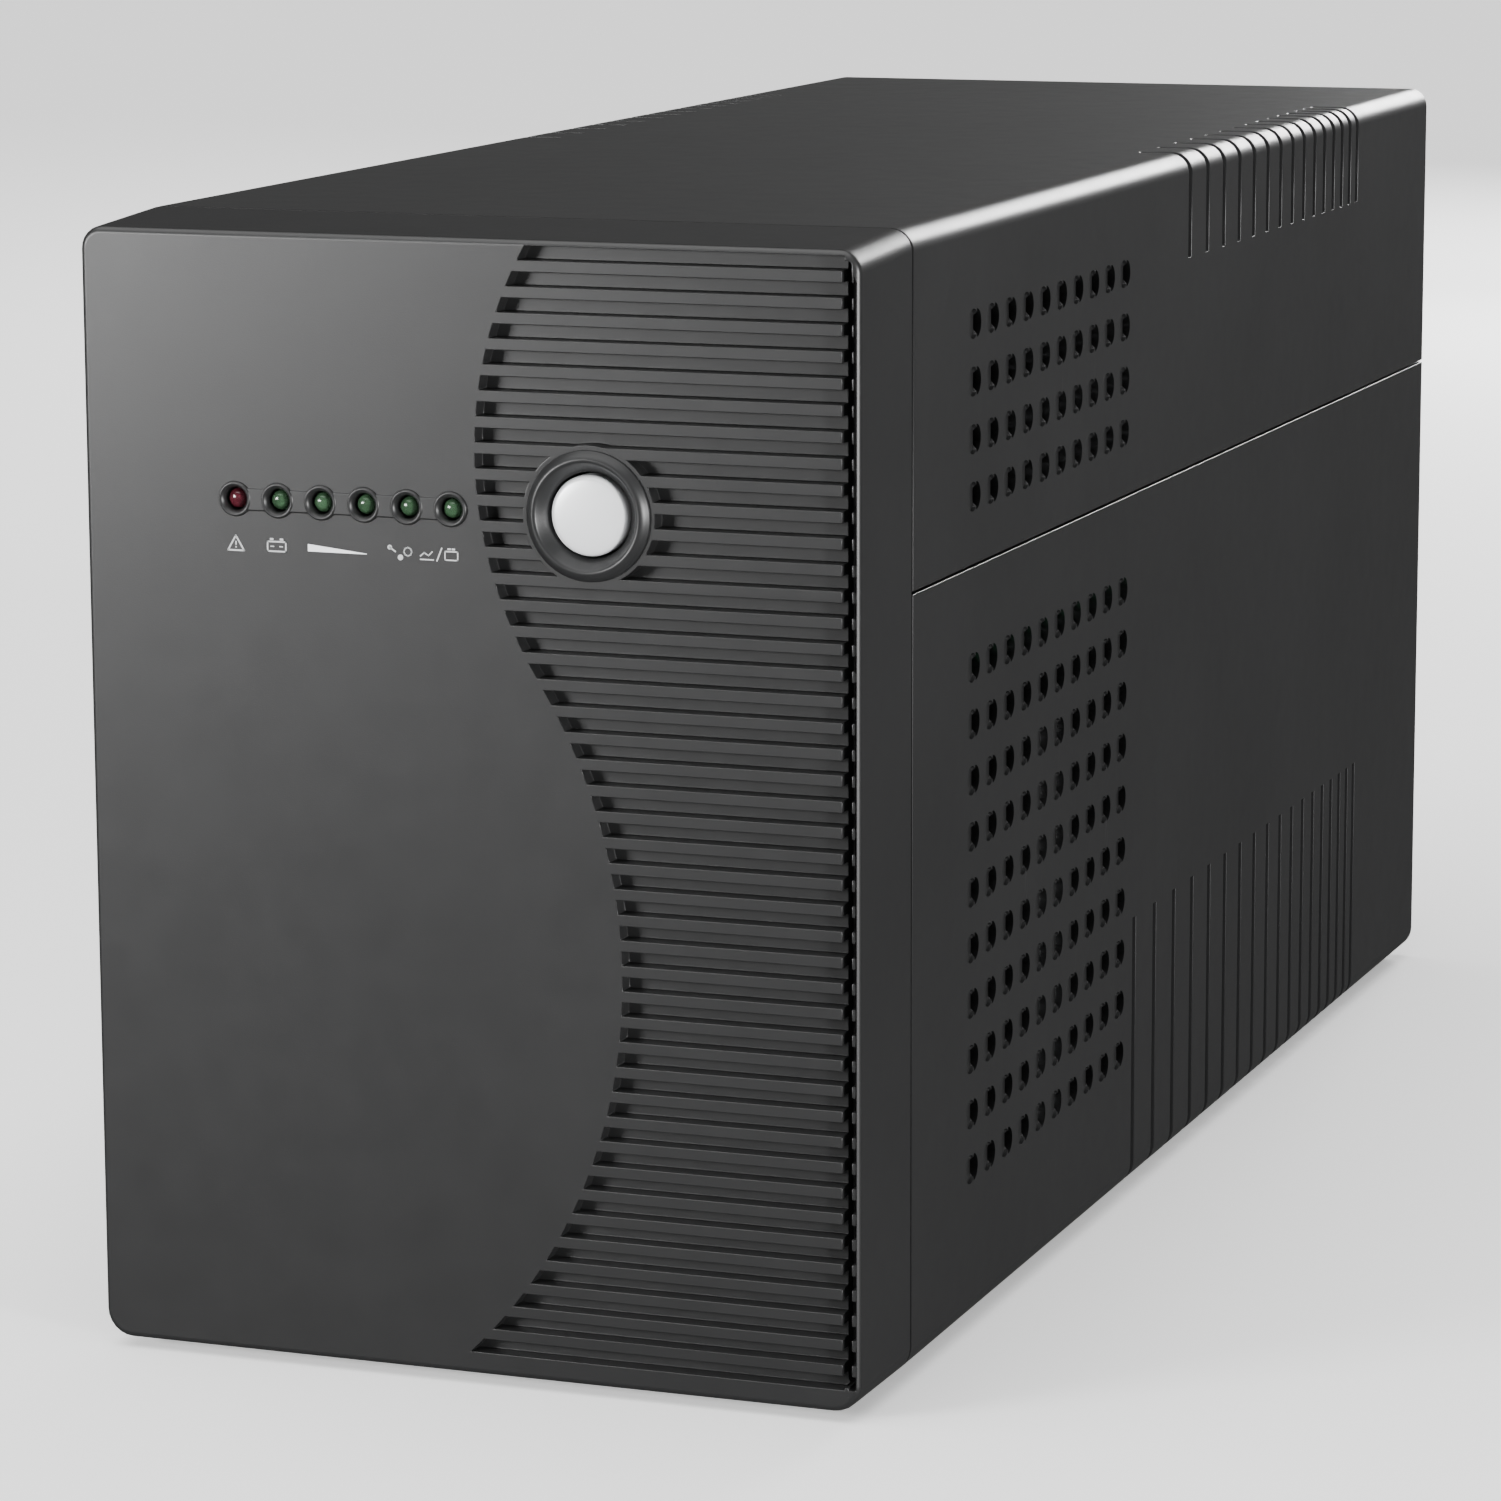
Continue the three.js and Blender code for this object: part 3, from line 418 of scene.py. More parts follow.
def lens(name, color):
    """Tinted clear plastic with a darker heart."""
    finish = Finish(name, color, 0.12, Transmission_Weight=0.35, IOR=1.49)
    darker = tuple(c * 0.45 for c in color)
    finish.into("Base Color", finish.blended(finish.ranged(finish.noise(420), 0, 1), color, darker))
    finish.into("Roughness", finish.ranged(finish.noise(900), 0.08, 0.2))
    return finish.material


GREEN_LENS = lens("green_lens", (0.045, 0.10, 0.05))
RED_LENS = lens("red_lens", (0.10, 0.015, 0.025))


def powder_coat():
    finish = Finish("powder_coat", (0.022, 0.0225, 0.024), 0.5)
    finish.into("Roughness", finish.ranged(finish.noise(60, 4), 0.42, 0.58))
    finish.bump(finish.noise(1500, 2, 0.5), 0.05)
    return finish.material


PANEL_PAINT = powder_coat()


def board_resist():
    """Green solder resist over the faint relief of tracks."""
    finish = Finish("circuit_board", (0.012, 0.11, 0.045), 0.32)
    tracks = finish.nodes.new("ShaderNodeTexBrick")
    tracks.inputs["Scale"].default_value = 90
    tracks.inputs["Mortar Size"].default_value = 0.02
    finish.links.new(finish.place, tracks.inputs["Vector"])
    lines = finish.ranged(tracks.outputs["Fac"], 0, 1, 0, 1)
    finish.into("Base Color", finish.blended(lines, (0.012, 0.10, 0.04), (0.02, 0.16, 0.07)))
    finish.bump(lines, 0.03)
    return finish.material


def winding_tape():
    """Amber tape over round wire, so that the turns show as fine ridges, with painted shade in the dips
    between turns and a painted highlight on their crests.
    """
    finish = Finish("amber_winding", (0.62, 0.36, 0.07), 0.3)
    turns = finish.nodes.new("ShaderNodeTexWave")
    turns.bands_direction = "Z"
    turns.inputs["Scale"].default_value = 160
    finish.links.new(finish.place, turns.inputs["Vector"])
    shade = finish.ranged(turns.outputs["Fac"], 0, 1, 0, 1)
    # Painted shade and highlight: the colour darkens in the dips between turns and lightens on the crests.
    finish.into("Base Color", finish.blended(shade, (0.40, 0.2, 0.04), (0.66, 0.4, 0.09)))
    finish.bump(shade, 0.12)
    return finish.material


def laminations():
    """Varnished sheets of core steel, stacked along Y."""
    finish = Finish("core_varnish", (0.07, 0.045, 0.03), 0.4, Metallic=0.3)
    sheets = finish.nodes.new("ShaderNodeTexWave")
    sheets.bands_direction = "Y"
    sheets.inputs["Scale"].default_value = 320
    finish.links.new(finish.place, sheets.inputs["Vector"])
    edge = finish.ranged(sheets.outputs["Fac"], 0, 1, 0, 1)
    finish.into("Base Color", finish.blended(edge, (0.05, 0.032, 0.022), (0.16, 0.12, 0.09)))
    finish.bump(edge, 0.08)
    return finish.material


BOARD_RESIST, WINDING, CORE_VARNISH = board_resist(), winding_tape(), laminations()
BATTERY_CASE = moulded("battery_case", (0.035, 0.036, 0.04), 0.55, grain=0.03)
RELAY_CASE = moulded("relay_case", (0.02, 0.06, 0.14), 0.35, grain=0.006)
CAN_SLEEVE = moulded("can_sleeve", (0.014, 0.016, 0.022), 0.28, grain=0.004)
BLACK_WIRE = moulded("black_wire", (0.012, 0.012, 0.012), 0.42, grain=0.01)
RED_WIRE = moulded("red_wire", (0.36, 0.02, 0.018), 0.42, grain=0.01)


# ---------------------------------------------------------------- front bezel
def louvre_field():
    """The area that the louvres cover, as a solid: right of both arcs of the S-curve."""
    reach = (FRONT - 3, FRONT + 8)
    upper = block("upper_field", (-20, TROUGH_LEFT + 0.5), reach, (ARCS_MEET, HEIGHT))
    crest = rod("crest", CREST_RADIUS, (FRONT - 5, FRONT + 10), CREST_X + CREST_RADIUS, CREST_Z, 240)
    combined(upper, [crest], "INTERSECT")
    lower = block("lower_field", (-60, TROUGH_LEFT + 0.5), reach, (FLOOR, ARCS_MEET))
    bulge = rod("bulge", BULGE_RADIUS, (FRONT - 5, FRONT + 10), BULGE_X - BULGE_RADIUS, BULGE_Z, 320)
    cut(lower, [bulge])
    return welded(upper, [lower])


def louvre_bars(x, depth, first=0):
    """One long bar for each groove between two limits along X, in front of and into the bezel."""
    half = LOUVRE_HEIGHT / 2
    bar = block("bar", x, (FRONT - 1, FRONT + depth), (LOUVRE_FIRST - half, LOUVRE_FIRST + half))
    return row_of(bar, [(0, 0, -LOUVRE_PITCH * i) for i in range(first, LOUVRES)])


def louvre_tool():
    field = louvre_field()
    pad = rod("pad", PAD_RADIUS, (FRONT - 4, FRONT + 9), BUTTON_X, CONTROL_Z, 96)
    cut(field, [pad])
    bars = joined(louvre_bars((-80, TROUGH_LEFT + 0.4), LOUVRE_DEPTH))
    return combined(bars, [field], "INTERSECT")


def lamp_xs():
    return [LAMP_FIRST + LAMP_PITCH * i for i in range(LAMPS)]


def front_bezel():
    body = block("bezel", (-SIDE, SIDE), (FRONT, BEZEL_BACK), (FLOOR, HEIGHT))
    at_front = lambda face: middle(face).y < FRONT + 0.1
    with editing(body, "FACE", at_front):
        centre = (0, FRONT * MM, (FLOOR + HEIGHT) / 2 * MM)
        tapers = (1 - SIDE_TAPER / SIDE, 1, 1 - (TOP_TAPER + BOTTOM_TAPER) / (HEIGHT - FLOOR))
        bpy.ops.transform.resize(value=tapers, center_override=centre)
        bpy.ops.transform.translate(value=(0, 0, (BOTTOM_TAPER - TOP_TAPER) / 2 * MM))
    top_edges = lambda edge: lies_along(edge, 1) and middle(edge).z > 100
    bottom_edges = lambda edge: lies_along(edge, 1) and middle(edge).z < 100
    rounded(body, EDGE_RADIUS, top_edges)
    rounded(body, BOTTOM_RADIUS, bottom_edges)
    rim = lambda edge: all(vert.co.y < (FRONT + 0.01) * MM for vert in edge.verts)
    rounded(body, 1.15, rim, 4)

    inner = SIDE - WALL
    hollow = block("hollow", (-inner + 0.8, inner - 0.8), (FRONT + 6.6, BEZEL_BACK + 2),
                   (FLOOR + 3.4, HEIGHT - 3.4))
    rounded(hollow, 2, lambda edge: lies_along(edge, 1))
    cut(body, [hollow])
    cut(body, [louvre_tool()])
    trough = block("trough", (TROUGH_LEFT, TROUGH_RIGHT), (FRONT - 1, FRONT + TROUGH_DEPTH),
                   (FLOOR + 4.6, HEIGHT - 3.2))
    rounded(trough, 0.8, lambda edge: lies_along(edge, 1), 4)
    cut(body, [trough])
    cut(body, louvre_bars((TROUGH_RIGHT - 0.6, POCKET_RIGHT), TROUGH_DEPTH - 0.4, first=1))

    first, last = lamp_xs()[0], lamp_xs()[-1]
    bridge = block("bridge", (first, last), (FRONT - 0.3, FRONT + 1),
                   (CONTROL_Z - 1.9, CONTROL_Z + 1.9))
    welded(body, [bridge])
    hole = rod("hole", EYELET_RADIUS - 0.6, (FRONT - 2, FRONT + 9), first, CONTROL_Z, 32)
    holes = row_of(hole, [(LAMP_PITCH * i, 0, 0) for i in range(LAMPS)])
    holes.append(rod("button_hole", 9.6, (FRONT - 2, FRONT + 9), BUTTON_X, CONTROL_Z, 64))
    cut(body, holes)
    softened(body, 0.16)
    rim = FRONT - EYELET_PROUD
    profile = [(2.05, FRONT + 6), (2.05, FRONT + 0.35), (2.2, FRONT), (2.42, rim + 0.2),
               (2.62, rim + 0.04), (2.8, rim), (2.96, rim + 0.08), (3.08, rim + 0.24),
               (EYELET_RADIUS, FRONT - 0.02), (EYELET_RADIUS, FRONT + 6), (2.05, FRONT + 6)]
    eyelets = row_of(turned("eyelet", profile, first, CONTROL_Z, 48),
                     [(LAMP_PITCH * i, 0, 0) for i in range(LAMPS)])
    return smooth(joined([body, *eyelets]), 40)


# ---------------------------------------------------------------- casings
def rear_groove_spots(first, pitch, shrink, count):
    """Where the upright grooves are, measured back from the front: they close up evenly."""
    return [first + pitch * i - shrink * i * (i - 1) / 2 for i in range(count)]


def groove_tool(low, high, spots, core_corners):
    """Slices over both sides of a casing, less the casing's own shape drawn in by the depth."""
    half = GROOVE_WIDTH / 2
    slices = [block("slice", (-SIDE - 2, SIDE + 2), (FRONT + y - half, FRONT + y + half), (low, high))
              for y in spots]
    tool = joined(slices)
    inner = SIDE - GROOVE_DEPTH
    core = block("core", (-inner, inner), (FRONT, REAR + 5),
                 (FLOOR + GROOVE_DEPTH, HEIGHT - GROOVE_DEPTH))
    rounded(core, EDGE_RADIUS - GROOVE_DEPTH, core_corners)
    cut(tool, [core])
    flat = inner - 9
    middle_part = block("middle_part", (-flat, flat), (FRONT, REAR + 5), (-5, HEIGHT + 5))
    return cut(tool, [middle_part])


def vent_tools(rows):
    """Scoops in both side walls: round, deeper towards the rear, and open to the inside there."""
    bpy.ops.object.select_all(action="DESELECT")
    bpy.ops.mesh.primitive_cylinder_add(
        vertices=28, radius=VENT_RADIUS * MM, depth=2 * WALL * MM,
        location=(SIDE * MM, VENT_FIRST * MM, VENT_TOP * MM), rotation=(0, math.pi / 2, 0))
    scoop = settled("scoop")
    with editing(scoop, "FACE", lambda face: True):
        bpy.ops.mesh.bisect(
            plane_co=((SIDE - 0.3) * MM, (VENT_FIRST - VENT_RADIUS) * MM, VENT_TOP * MM),
            plane_no=(1, (VENT_DEPTH - 0.3) / (2 * VENT_RADIUS), 0), use_fill=True,
            clear_inner=True, threshold=0.001 * MM)
    bpy.ops.object.select_all(action="DESELECT")
    bpy.ops.mesh.primitive_cylinder_add(
        vertices=28, radius=(VENT_RADIUS - 0.12) * MM, depth=2 * (WALL + 0.6) * MM,
        location=(SIDE * MM, VENT_FIRST * MM, VENT_TOP * MM), rotation=(0, math.pi / 2, 0))
    mouth = settled("mouth")
    with editing(mouth, "FACE", lambda face: True):
        bpy.ops.mesh.bisect(plane_co=(SIDE * MM, (VENT_FIRST + 0.1) * MM, VENT_TOP * MM),
                            plane_no=(0, 1, 0), use_fill=True, clear_inner=True,
                            threshold=0.001 * MM)
    with editing(mouth, "VERT", lambda vert: middle(vert).x < SIDE - WALL):
        bpy.ops.transform.translate(value=(0, 3.6 * MM, 0))
    tools = []
    for piece in (scoop, mouth):
        shifts = [(0, VENT_PITCH * i, -VENT_PITCH * j) for i in range(VENT_COLUMNS) for j in rows]
        right = joined(row_of(piece, shifts))
        left = copied(right, "left_side", (0, 0, 0))
        only(left)
        bpy.ops.transform.mirror(constraint_axis=(True, False, False), center_override=(0, 0, 0))
        tools.append(joined([right, tidied(settled_again(left))]))
    return tools


def settled_again(piece):
    only(piece)
    bpy.ops.object.transform_apply(location=True, rotation=True, scale=True)
    return piece


def casing(name, z, spots, groove_z, rows, upper, fittings):
    """One half of the casing: a bent wall with its vents and grooves, open at both ends."""
    body = block(name, (-SIDE, SIDE), (CASING_FRONT, REAR), z)
    closed = (lambda edge: middle(edge).z > z[1] - 1) if upper else (lambda edge: middle(edge).z < z[0] + 1)
    corner = lambda edge: lies_along(edge, 1) and closed(edge)
    rounded(body, EDGE_RADIUS if upper else BOTTOM_RADIUS, corner, 8)
    inner = SIDE - WALL
    inner_z = (z[0] - 5, z[1] - WALL) if upper else (z[0] + WALL, z[1] + 5)
    hollow = block("hollow", (-inner, inner), (CASING_FRONT - 5, REAR + 5), inner_z)
    far = (lambda edge: middle(edge).z > 190) if upper else (lambda edge: middle(edge).z < 20)
    rounded(hollow, 1.4 if upper else 2.4, lambda edge: lies_along(edge, 1) and far(edge))
    cut(body, [hollow])
    for fitting in fittings:
        welded(body, [fitting])
    core_corner = lambda edge: lies_along(edge, 1)
    cut(body, [groove_tool(*groove_z, spots, core_corner)])
    softened(body, 0.18)
    for tool in vent_tools(rows):
        cut(body, [tool])
    return smooth(body, 40)


def screw_boss(name):
    """The block in a rear corner of the casing that a panel screw bites into."""
    spot = centre_of(name)
    x, z, wall = spot.x, spot.z, SIDE - WALL
    reach_x = sorted((math.copysign(wall + 0.5, x), x - math.copysign(5, x)))
    reach_z = (z - 5, HEIGHT - WALL + 0.5) if z > SEAM_Z else (FLOOR + WALL - 0.5, z + 5)
    boss = block("boss", reach_x, (PANEL_FRONT - 16, PANEL_FRONT - 0.3), reach_z)
    return cut(boss, [rod("bore", 1.7, (PANEL_FRONT - 14, PANEL_FRONT + 1), x, z, 20)])


def upper_casing():
    spots = rear_groove_spots(198, 12.7, 0.49, 15)
    bosses = [screw_boss(name) for name in SCREWS[2:]]
    return casing("upper_shell", (UPPER_LOW, HEIGHT), spots, (184.3, HEIGHT + 2), UPPER_ROWS, True,
                  bosses)


def tray_fittings():
    """Screw bosses, lips at the seam, ribs for the board and rails for the batteries."""
    inner, board_low = SIDE - WALL, extents("main_board")[0].z
    along = (CASING_FRONT + 4, PANEL_FRONT - 20)
    fittings = [screw_boss(name) for name in SCREWS[:2]]
    for end in (-1, 1):
        for near, low, high in ((-0.2, SEAM_Z - 6, SEAM_Z - 1), (0.3, SEAM_Z - 5, SEAM_Z + 2)):
            x = sorted((end * (inner - near), end * (inner - 1.3)))
            fittings.append(block("lip", x, along, (low, high)))
        for y in (-152, -2):
            x = sorted((end * (inner + 0.2), end * (inner - 3.2)))
            fittings.append(block("rib", x, spread(y, 6), (FLOOR + WALL - 0.5, board_low - 0.3)))
        for x in (20, 44):
            fittings.append(block("rail", spread(end * x, 3), (-159, -16),
                                  (FLOOR + WALL - 0.4, FLOOR + WALL + 3.6)))
    return fittings


def lower_casing():
    spots = rear_groove_spots(163.2, 14.3, 0.51, 18)
    body = casing("lower_shell", (FLOOR, LOWER_HIGH), spots, (-2, 56.9), LOWER_ROWS, False,
                  tray_fittings())
    holes = []
    for name in ("front_left", "front_right", "rear_left", "rear_right"):
        spot = centre_of(f"foot_{name}")
        bpy.ops.object.select_all(action="DESELECT")
        bpy.ops.mesh.primitive_cylinder_add(vertices=32, radius=2.8 * MM, depth=9 * MM,
                                            location=(spot.x * MM, spot.y * MM, FLOOR * MM))
        holes.append(settled("foot_hole"))
    cut(body, holes)
    return smooth(body, 40)


# ---------------------------------------------------------------- button, lenses and symbols
def button_ring():
    low, high = extents("button_ring")
    rim = low.y
    outside = (high.x - low.x) / 2
    profile = [(7.5, high.y - 1.5), (7.5, FRONT + 1.4), (7.62, FRONT + 0.9), (8.1, FRONT + 0.25),
               (8.75, FRONT - 0.55), (9.2, rim + 0.3), (9.5, rim + 0.06), (9.8, rim),
               (10.1, rim + 0.06), (10.55, rim + 0.35), (10.95, rim + 0.75), (11.25, rim + 1.1),
               (outside, FRONT - 0.25), (outside, FRONT - 0.05), (9.3, FRONT - 0.05),
               (9.3, high.y), (3, high.y), (3, high.y - 1.5), (7.5, high.y - 1.5)]
    return smooth(turned("ring", profile, BUTTON_X, CONTROL_Z, 96))


def power_button():
    low, high = extents("power_button")
    face, radius = low.y, (high.x - low.x) / 2
    profile = [(0, face), (2.5, face + 0.03), (4.6, face + 0.12), (6.0, face + 0.27),
               (6.55, face + 0.42), (6.85, face + 0.68), (radius, face + 1.15),
               (radius, FRONT + 7.3), (5.9, FRONT + 7.3), (5.9, FRONT + 2), (2, FRONT + 2),
               (2, high.y), (0, high.y)]
    return smooth(turned("cap", profile, BUTTON_X, CONTROL_Z, 80))


def button_spring():
    """Four turns of round wire between the cap and the ring's floor."""
    low, high = extents("button_spring")
    coil = (high.x - low.x) / 2 - 0.35
    curve = bpy.data.curves.new("spring_wire", "CURVE")
    curve.dimensions = "3D"
    curve.bevel_depth, curve.bevel_resolution, curve.use_fill_caps = 0.35 * MM, 3, True
    spline = curve.splines.new("POLY")
    turns, per_turn = 4, 32
    spline.points.add(turns * per_turn)
    for i, point in enumerate(spline.points):
        angle = i / per_turn * math.tau
        y = low.y + 0.35 + (high.y - low.y - 0.7) * i / (turns * per_turn)
        point.co = ((BUTTON_X + coil * math.cos(angle)) * MM, y * MM,
                    (CONTROL_Z + coil * math.sin(angle)) * MM, 1)
    piece = bpy.data.objects.new("spring_wire", curve)
    bpy.context.scene.collection.objects.link(piece)
    only(piece)
    bpy.ops.object.convert(target="MESH")
    return smooth(tidied(piece), 70)


def lamp_lens(x):
    back = extents("indicator_lens_1")[1].y
    tip = FRONT + 0.15
    profile = [(0, tip), (0.6, tip + 0.06), (1.1, tip + 0.25), (1.5, tip + 0.62), (1.75, tip + 1.1),
               (LAMP_RADIUS, tip + 1.7), (LAMP_RADIUS, tip + 9), (2.5, tip + 9), (2.5, back), (0, back)]
    return smooth(turned("lens", profile, x, CONTROL_Z, 32))


# ---------------------------------------------------------------- printed symbols
def stroke(start, end, width=0.28):
    """A printed line on the front between two points in X and Z."""
    (x0, z0), (x1, z1) = start, end
    length = math.hypot(x1 - x0, z1 - z0)
    bpy.ops.object.select_all(action="DESELECT")
    bpy.ops.mesh.primitive_cube_add(
        size=1, location=((x0 + x1) / 2 * MM, (FRONT + 0.03) * MM, (z0 + z1) / 2 * MM),
        scale=((length + width) * MM, 0.16 * MM, width * MM),
        rotation=(0, -math.atan2(z1 - z0, x1 - x0), 0))
    return settled("stroke")


def outline(points, closed=True, width=0.28):
    ends = points[1:] + points[:1] if closed else points[1:]
    return [stroke(a, b, width) for a, b in zip(points, ends)]


def dot(x, z, radius):
    return rod("dot", radius, (FRONT - 0.05, FRONT + 0.11), x, z, 20)


def level_wedge(left, right, low, tall):
    """A bar that thins out from full to nothing, for the charge level."""
    wedge = block("wedge", (left, right), (FRONT - 0.05, FRONT + 0.11), (low, low + tall))
    with editing(wedge, "VERT", lambda v: middle(v).x > right - 0.1 and middle(v).z > low + 0.1):
        bpy.ops.transform.translate(value=(0, 0, -(tall - 0.12) * MM))
    return wedge


def battery_sign(x, z, wide, tall, width=0.26):
    left, right, low, high = x - wide / 2, x + wide / 2, z - tall / 2, z + tall / 2
    marks = outline([(left, low), (right, low), (right, high), (left, high)], True, width)
    for post_x in (left + 0.8, right - 0.8):
        marks.append(stroke((post_x - 0.15, high + 0.42), (post_x + 0.15, high + 0.42), width + 0.1))
    return marks


def front_symbols():
    """Signs for fault, battery, charge level, load and mains, in thin lines."""
    z = SYMBOL_Z
    marks = outline([(-44.9, z - 1.2), (-41.8, z - 1.2), (-43.35, z + 1.4)])
    marks += [stroke((-43.35, z - 0.1), (-43.35, z + 0.3), 0.26), dot(-43.35, z - 0.62, 0.15)]
    marks += battery_sign(-35.5, z - 0.2, 3.5, 1.7)
    marks += [stroke((-36.6, z - 0.2), (-36.1, z - 0.2), 0.2),
              stroke((-34.9, z - 0.2), (-34.4, z - 0.2), 0.2)]
    marks += [dot(-13.9, z + 0.75, 0.42), dot(-11.9, z - 0.95, 0.5),
              stroke((-13.9, z + 0.75), (-12.9, z + 0.05), 0.26)]
    ring = [(-10.5 + 0.75 * math.cos(math.tau * i / 8), z + 0.1 + 0.75 * math.sin(math.tau * i / 8))
            for i in range(8)]
    marks += outline(ring, True, 0.22)
    marks += outline([(-8.1, z - 0.5), (-7.4, z + 0.1), (-6.6, z - 0.4), (-5.9, z + 0.3)], False, 0.22)
    marks.append(stroke((-8.1, z - 1.1), (-5.7, z - 1.1), 0.22))
    marks.append(stroke((-5.0, z - 1.2), (-4.1, z + 1.0), 0.24))
    marks += battery_sign(-2.3, z - 0.25, 2.4, 1.5, 0.22)
    return joined(marks)


def charge_bar():
    return level_wedge(-29.5, -18.3, SYMBOL_Z - 0.75, 1.3)


# ---------------------------------------------------------------- underneath
def rubber_foot(x, y):
    """A low domed foot with a stem whose barb holds it in the floor."""
    seat, barb = FLOOR - 0.25, FLOOR + WALL + 0.3
    profile = [(0, barb + 2.6), (1.6, barb + 2.4), (2.6, barb + 1.2), (3.3, barb), (2.5, barb),
               (2.5, seat), (8.6, seat), (9, seat - 0.3), (8.95, 0.9), (8.7, 0.4), (8.2, 0.08),
               (7.8, 0), (6.2, 0), (5.9, 0.35), (5.2, 0.45), (4.5, 0.35), (4.2, 0.05), (0, 0.02)]
    foot = turned("foot", profile, 0, 0, 48)
    foot.rotation_euler = (math.pi / 2, 0, 0)
    foot.location = (x * MM, y * MM, 0)
    only(foot)
    bpy.ops.object.transform_apply(location=True, rotation=True, scale=True)
    return smooth(tidied(foot), 35)


# ---------------------------------------------------------------- rear panel
def outline_corners(x, z):
    """A test for the edges along Y at the four corners of a rectangle."""
    def test(edge):
        spot = middle(edge)
        return lies_along(edge, 1) and (min(abs(spot.x - x[0]), abs(spot.x - x[1])) < 0.1
                                        and min(abs(spot.z - z[0]), abs(spot.z - z[1])) < 0.1)
    return test


def slab(name, x, y, z, radius, segments=6):
    """A flat block whose corners, seen from the front, are rounded."""
    piece = block(name, x, y, z)
    return rounded(piece, radius, outline_corners(x, z), segments)


FLANGE_BACK = 197
SEAT = PANEL_BACK + 0.3
FAN_CENTRE = centre_of("fan_frame")
FAN_X, FAN_Z = round(FAN_CENTRE.x, 2), round(FAN_CENTRE.z, 2)
FAN_HOLE = 35.75


def fan_corners():
    return [(FAN_X + i * FAN_HOLE, FAN_Z + k * FAN_HOLE) for i in (-1, 1) for k in (-1, 1)]


def rear_panel():
    plate = slab("plate", (PANEL_LOW.x, PANEL_HIGH.x), (PANEL_FRONT, PANEL_BACK),
                 (PANEL_LOW.z, PANEL_HIGH.z), 2.6)
    through = (PANEL_FRONT - 1, PANEL_BACK + 1)
    tools = [rod("fan_bore", 38, through, FAN_X, FAN_Z, 96)]
    for node, wide, tall in [("mains_inlet", 29.6, 22.6), ("data_ports", 32.6, 14.6),
                             ("usb_port", 12.6, 11.6), *((name, 27.6, 21.6) for name in OUTLETS)]:
        spot = centre_of(node)
        tools.append(block("window", spread(spot.x, wide), through, spread(spot.z, tall)))
    spot = centre_of("breaker_button")
    tools.append(rod("neck_hole", 7.3, through, spot.x, spot.z, 40))
    for name in SCREWS:
        spot = centre_of(name)
        tools.append(rod("screw_hole", 1.8, through, spot.x, spot.z, 24))
    tools += [rod("fan_hole", 2.1, through, x, z, 24) for x, z in fan_corners()]
    cut(plate, tools)
    ledge = slab("sunk", (-62, 62), (PANEL_BACK - 0.35, PANEL_BACK + 2), (37.2, 100.5), 4)
    cut(plate, [ledge])
    return softened(plate, 0.25)


def coupler_block(name, x, y, z, wide, tall, cut_corner):
    """The six-sided outline of an appliance coupler, its two lower corners cut off."""
    piece = block(name, spread(x, wide), y, spread(z, tall))
    low_corners = lambda edge: lies_along(edge, 1) and middle(edge).z < z
    rounded(piece, cut_corner, low_corners, 1)
    high_corners = lambda edge: lies_along(edge, 1) and middle(edge).z > z + tall / 2 - 0.1
    return rounded(piece, 1, high_corners, 4)


def contacts(x, z):
    return [(x, z + 2), (x - 7, z - 2), (x + 7, z - 2)]


def outlet():
    """The first outlet: a flange, a moat round the six-sided island, and three slots."""
    spot = centre_of("outlet_1")
    x, z = spot.x, spot.z
    flange = slab("flange", spread(x, 31), (SEAT, FLANGE_BACK), spread(z, 26), 2.2)
    back = slab("body", spread(x, 27), (FLANGE_BACK - 20, SEAT + 0.5), spread(z, 21), 1)
    welded(flange, [back])
    moat = coupler_block("moat", x, (FLANGE_BACK - 14, FLANGE_BACK + 1), z, 24.6, 16.8, 5)
    island = coupler_block("island", x, (FLANGE_BACK - 15, FLANGE_BACK - 0.6), z, 20.6, 12.8, 4)
    cut(moat, [island])
    cut(flange, [moat])
    slots = [block("slot", spread(sx, 2.2), (FLANGE_BACK - 14, FLANGE_BACK + 1), spread(sz, 4.4))
             for sx, sz in contacts(x, z)]
    cut(flange, slots)
    return softened(flange, 0.22)


def outlet_contacts():
    """Sprung brass leaves, two in each slot of the first outlet."""
    spot = centre_of("outlet_1")
    leaves = []
    for sx, sz in contacts(spot.x, spot.z):
        for side in (-1, 1):
            leaf = block("leaf", spread(sx + side * 0.8, 0.3), (FLANGE_BACK - 13.8, FLANGE_BACK - 3),
                         spread(sz, 3.8))
            mouth = lambda vert: middle(vert).y > FLANGE_BACK - 3.5
            with editing(leaf, "VERT", mouth):
                bpy.ops.transform.translate(value=(-side * 0.2 * MM, 0, 0))
            leaves.append(leaf)
    return softened(joined(leaves), 0.06)


def mains_inlet():
    spot = centre_of("mains_inlet")
    x, z = spot.x, spot.z
    flange = slab("flange", spread(x, 34), (SEAT, FLANGE_BACK), spread(z, 27), 2.4)
    back = slab("body", spread(x, 29), (FLANGE_BACK - 24, SEAT + 0.5), spread(z, 22), 1)
    welded(flange, [back])
    cavity = coupler_block("cavity", x, (FLANGE_BACK - 17, FLANGE_BACK + 1), z, 24.8, 17, 5)
    cut(flange, [cavity])
    return softened(flange, 0.25)


def inlet_pins():
    """Three flat pins with rounded tips, standing in the inlet."""
    spot = centre_of("mains_inlet")
    pins = []
    for x, z in contacts(spot.x, spot.z):
        pin = block("pin", spread(x, 2), (FLANGE_BACK - 18, FLANGE_BACK - 5.5), spread(z, 4))
        tip = lambda edge: middle(edge).y > FLANGE_BACK - 5.6
        pins.append(rounded(pin, 0.7, tip, 3))
    return smooth(joined(pins), 40)


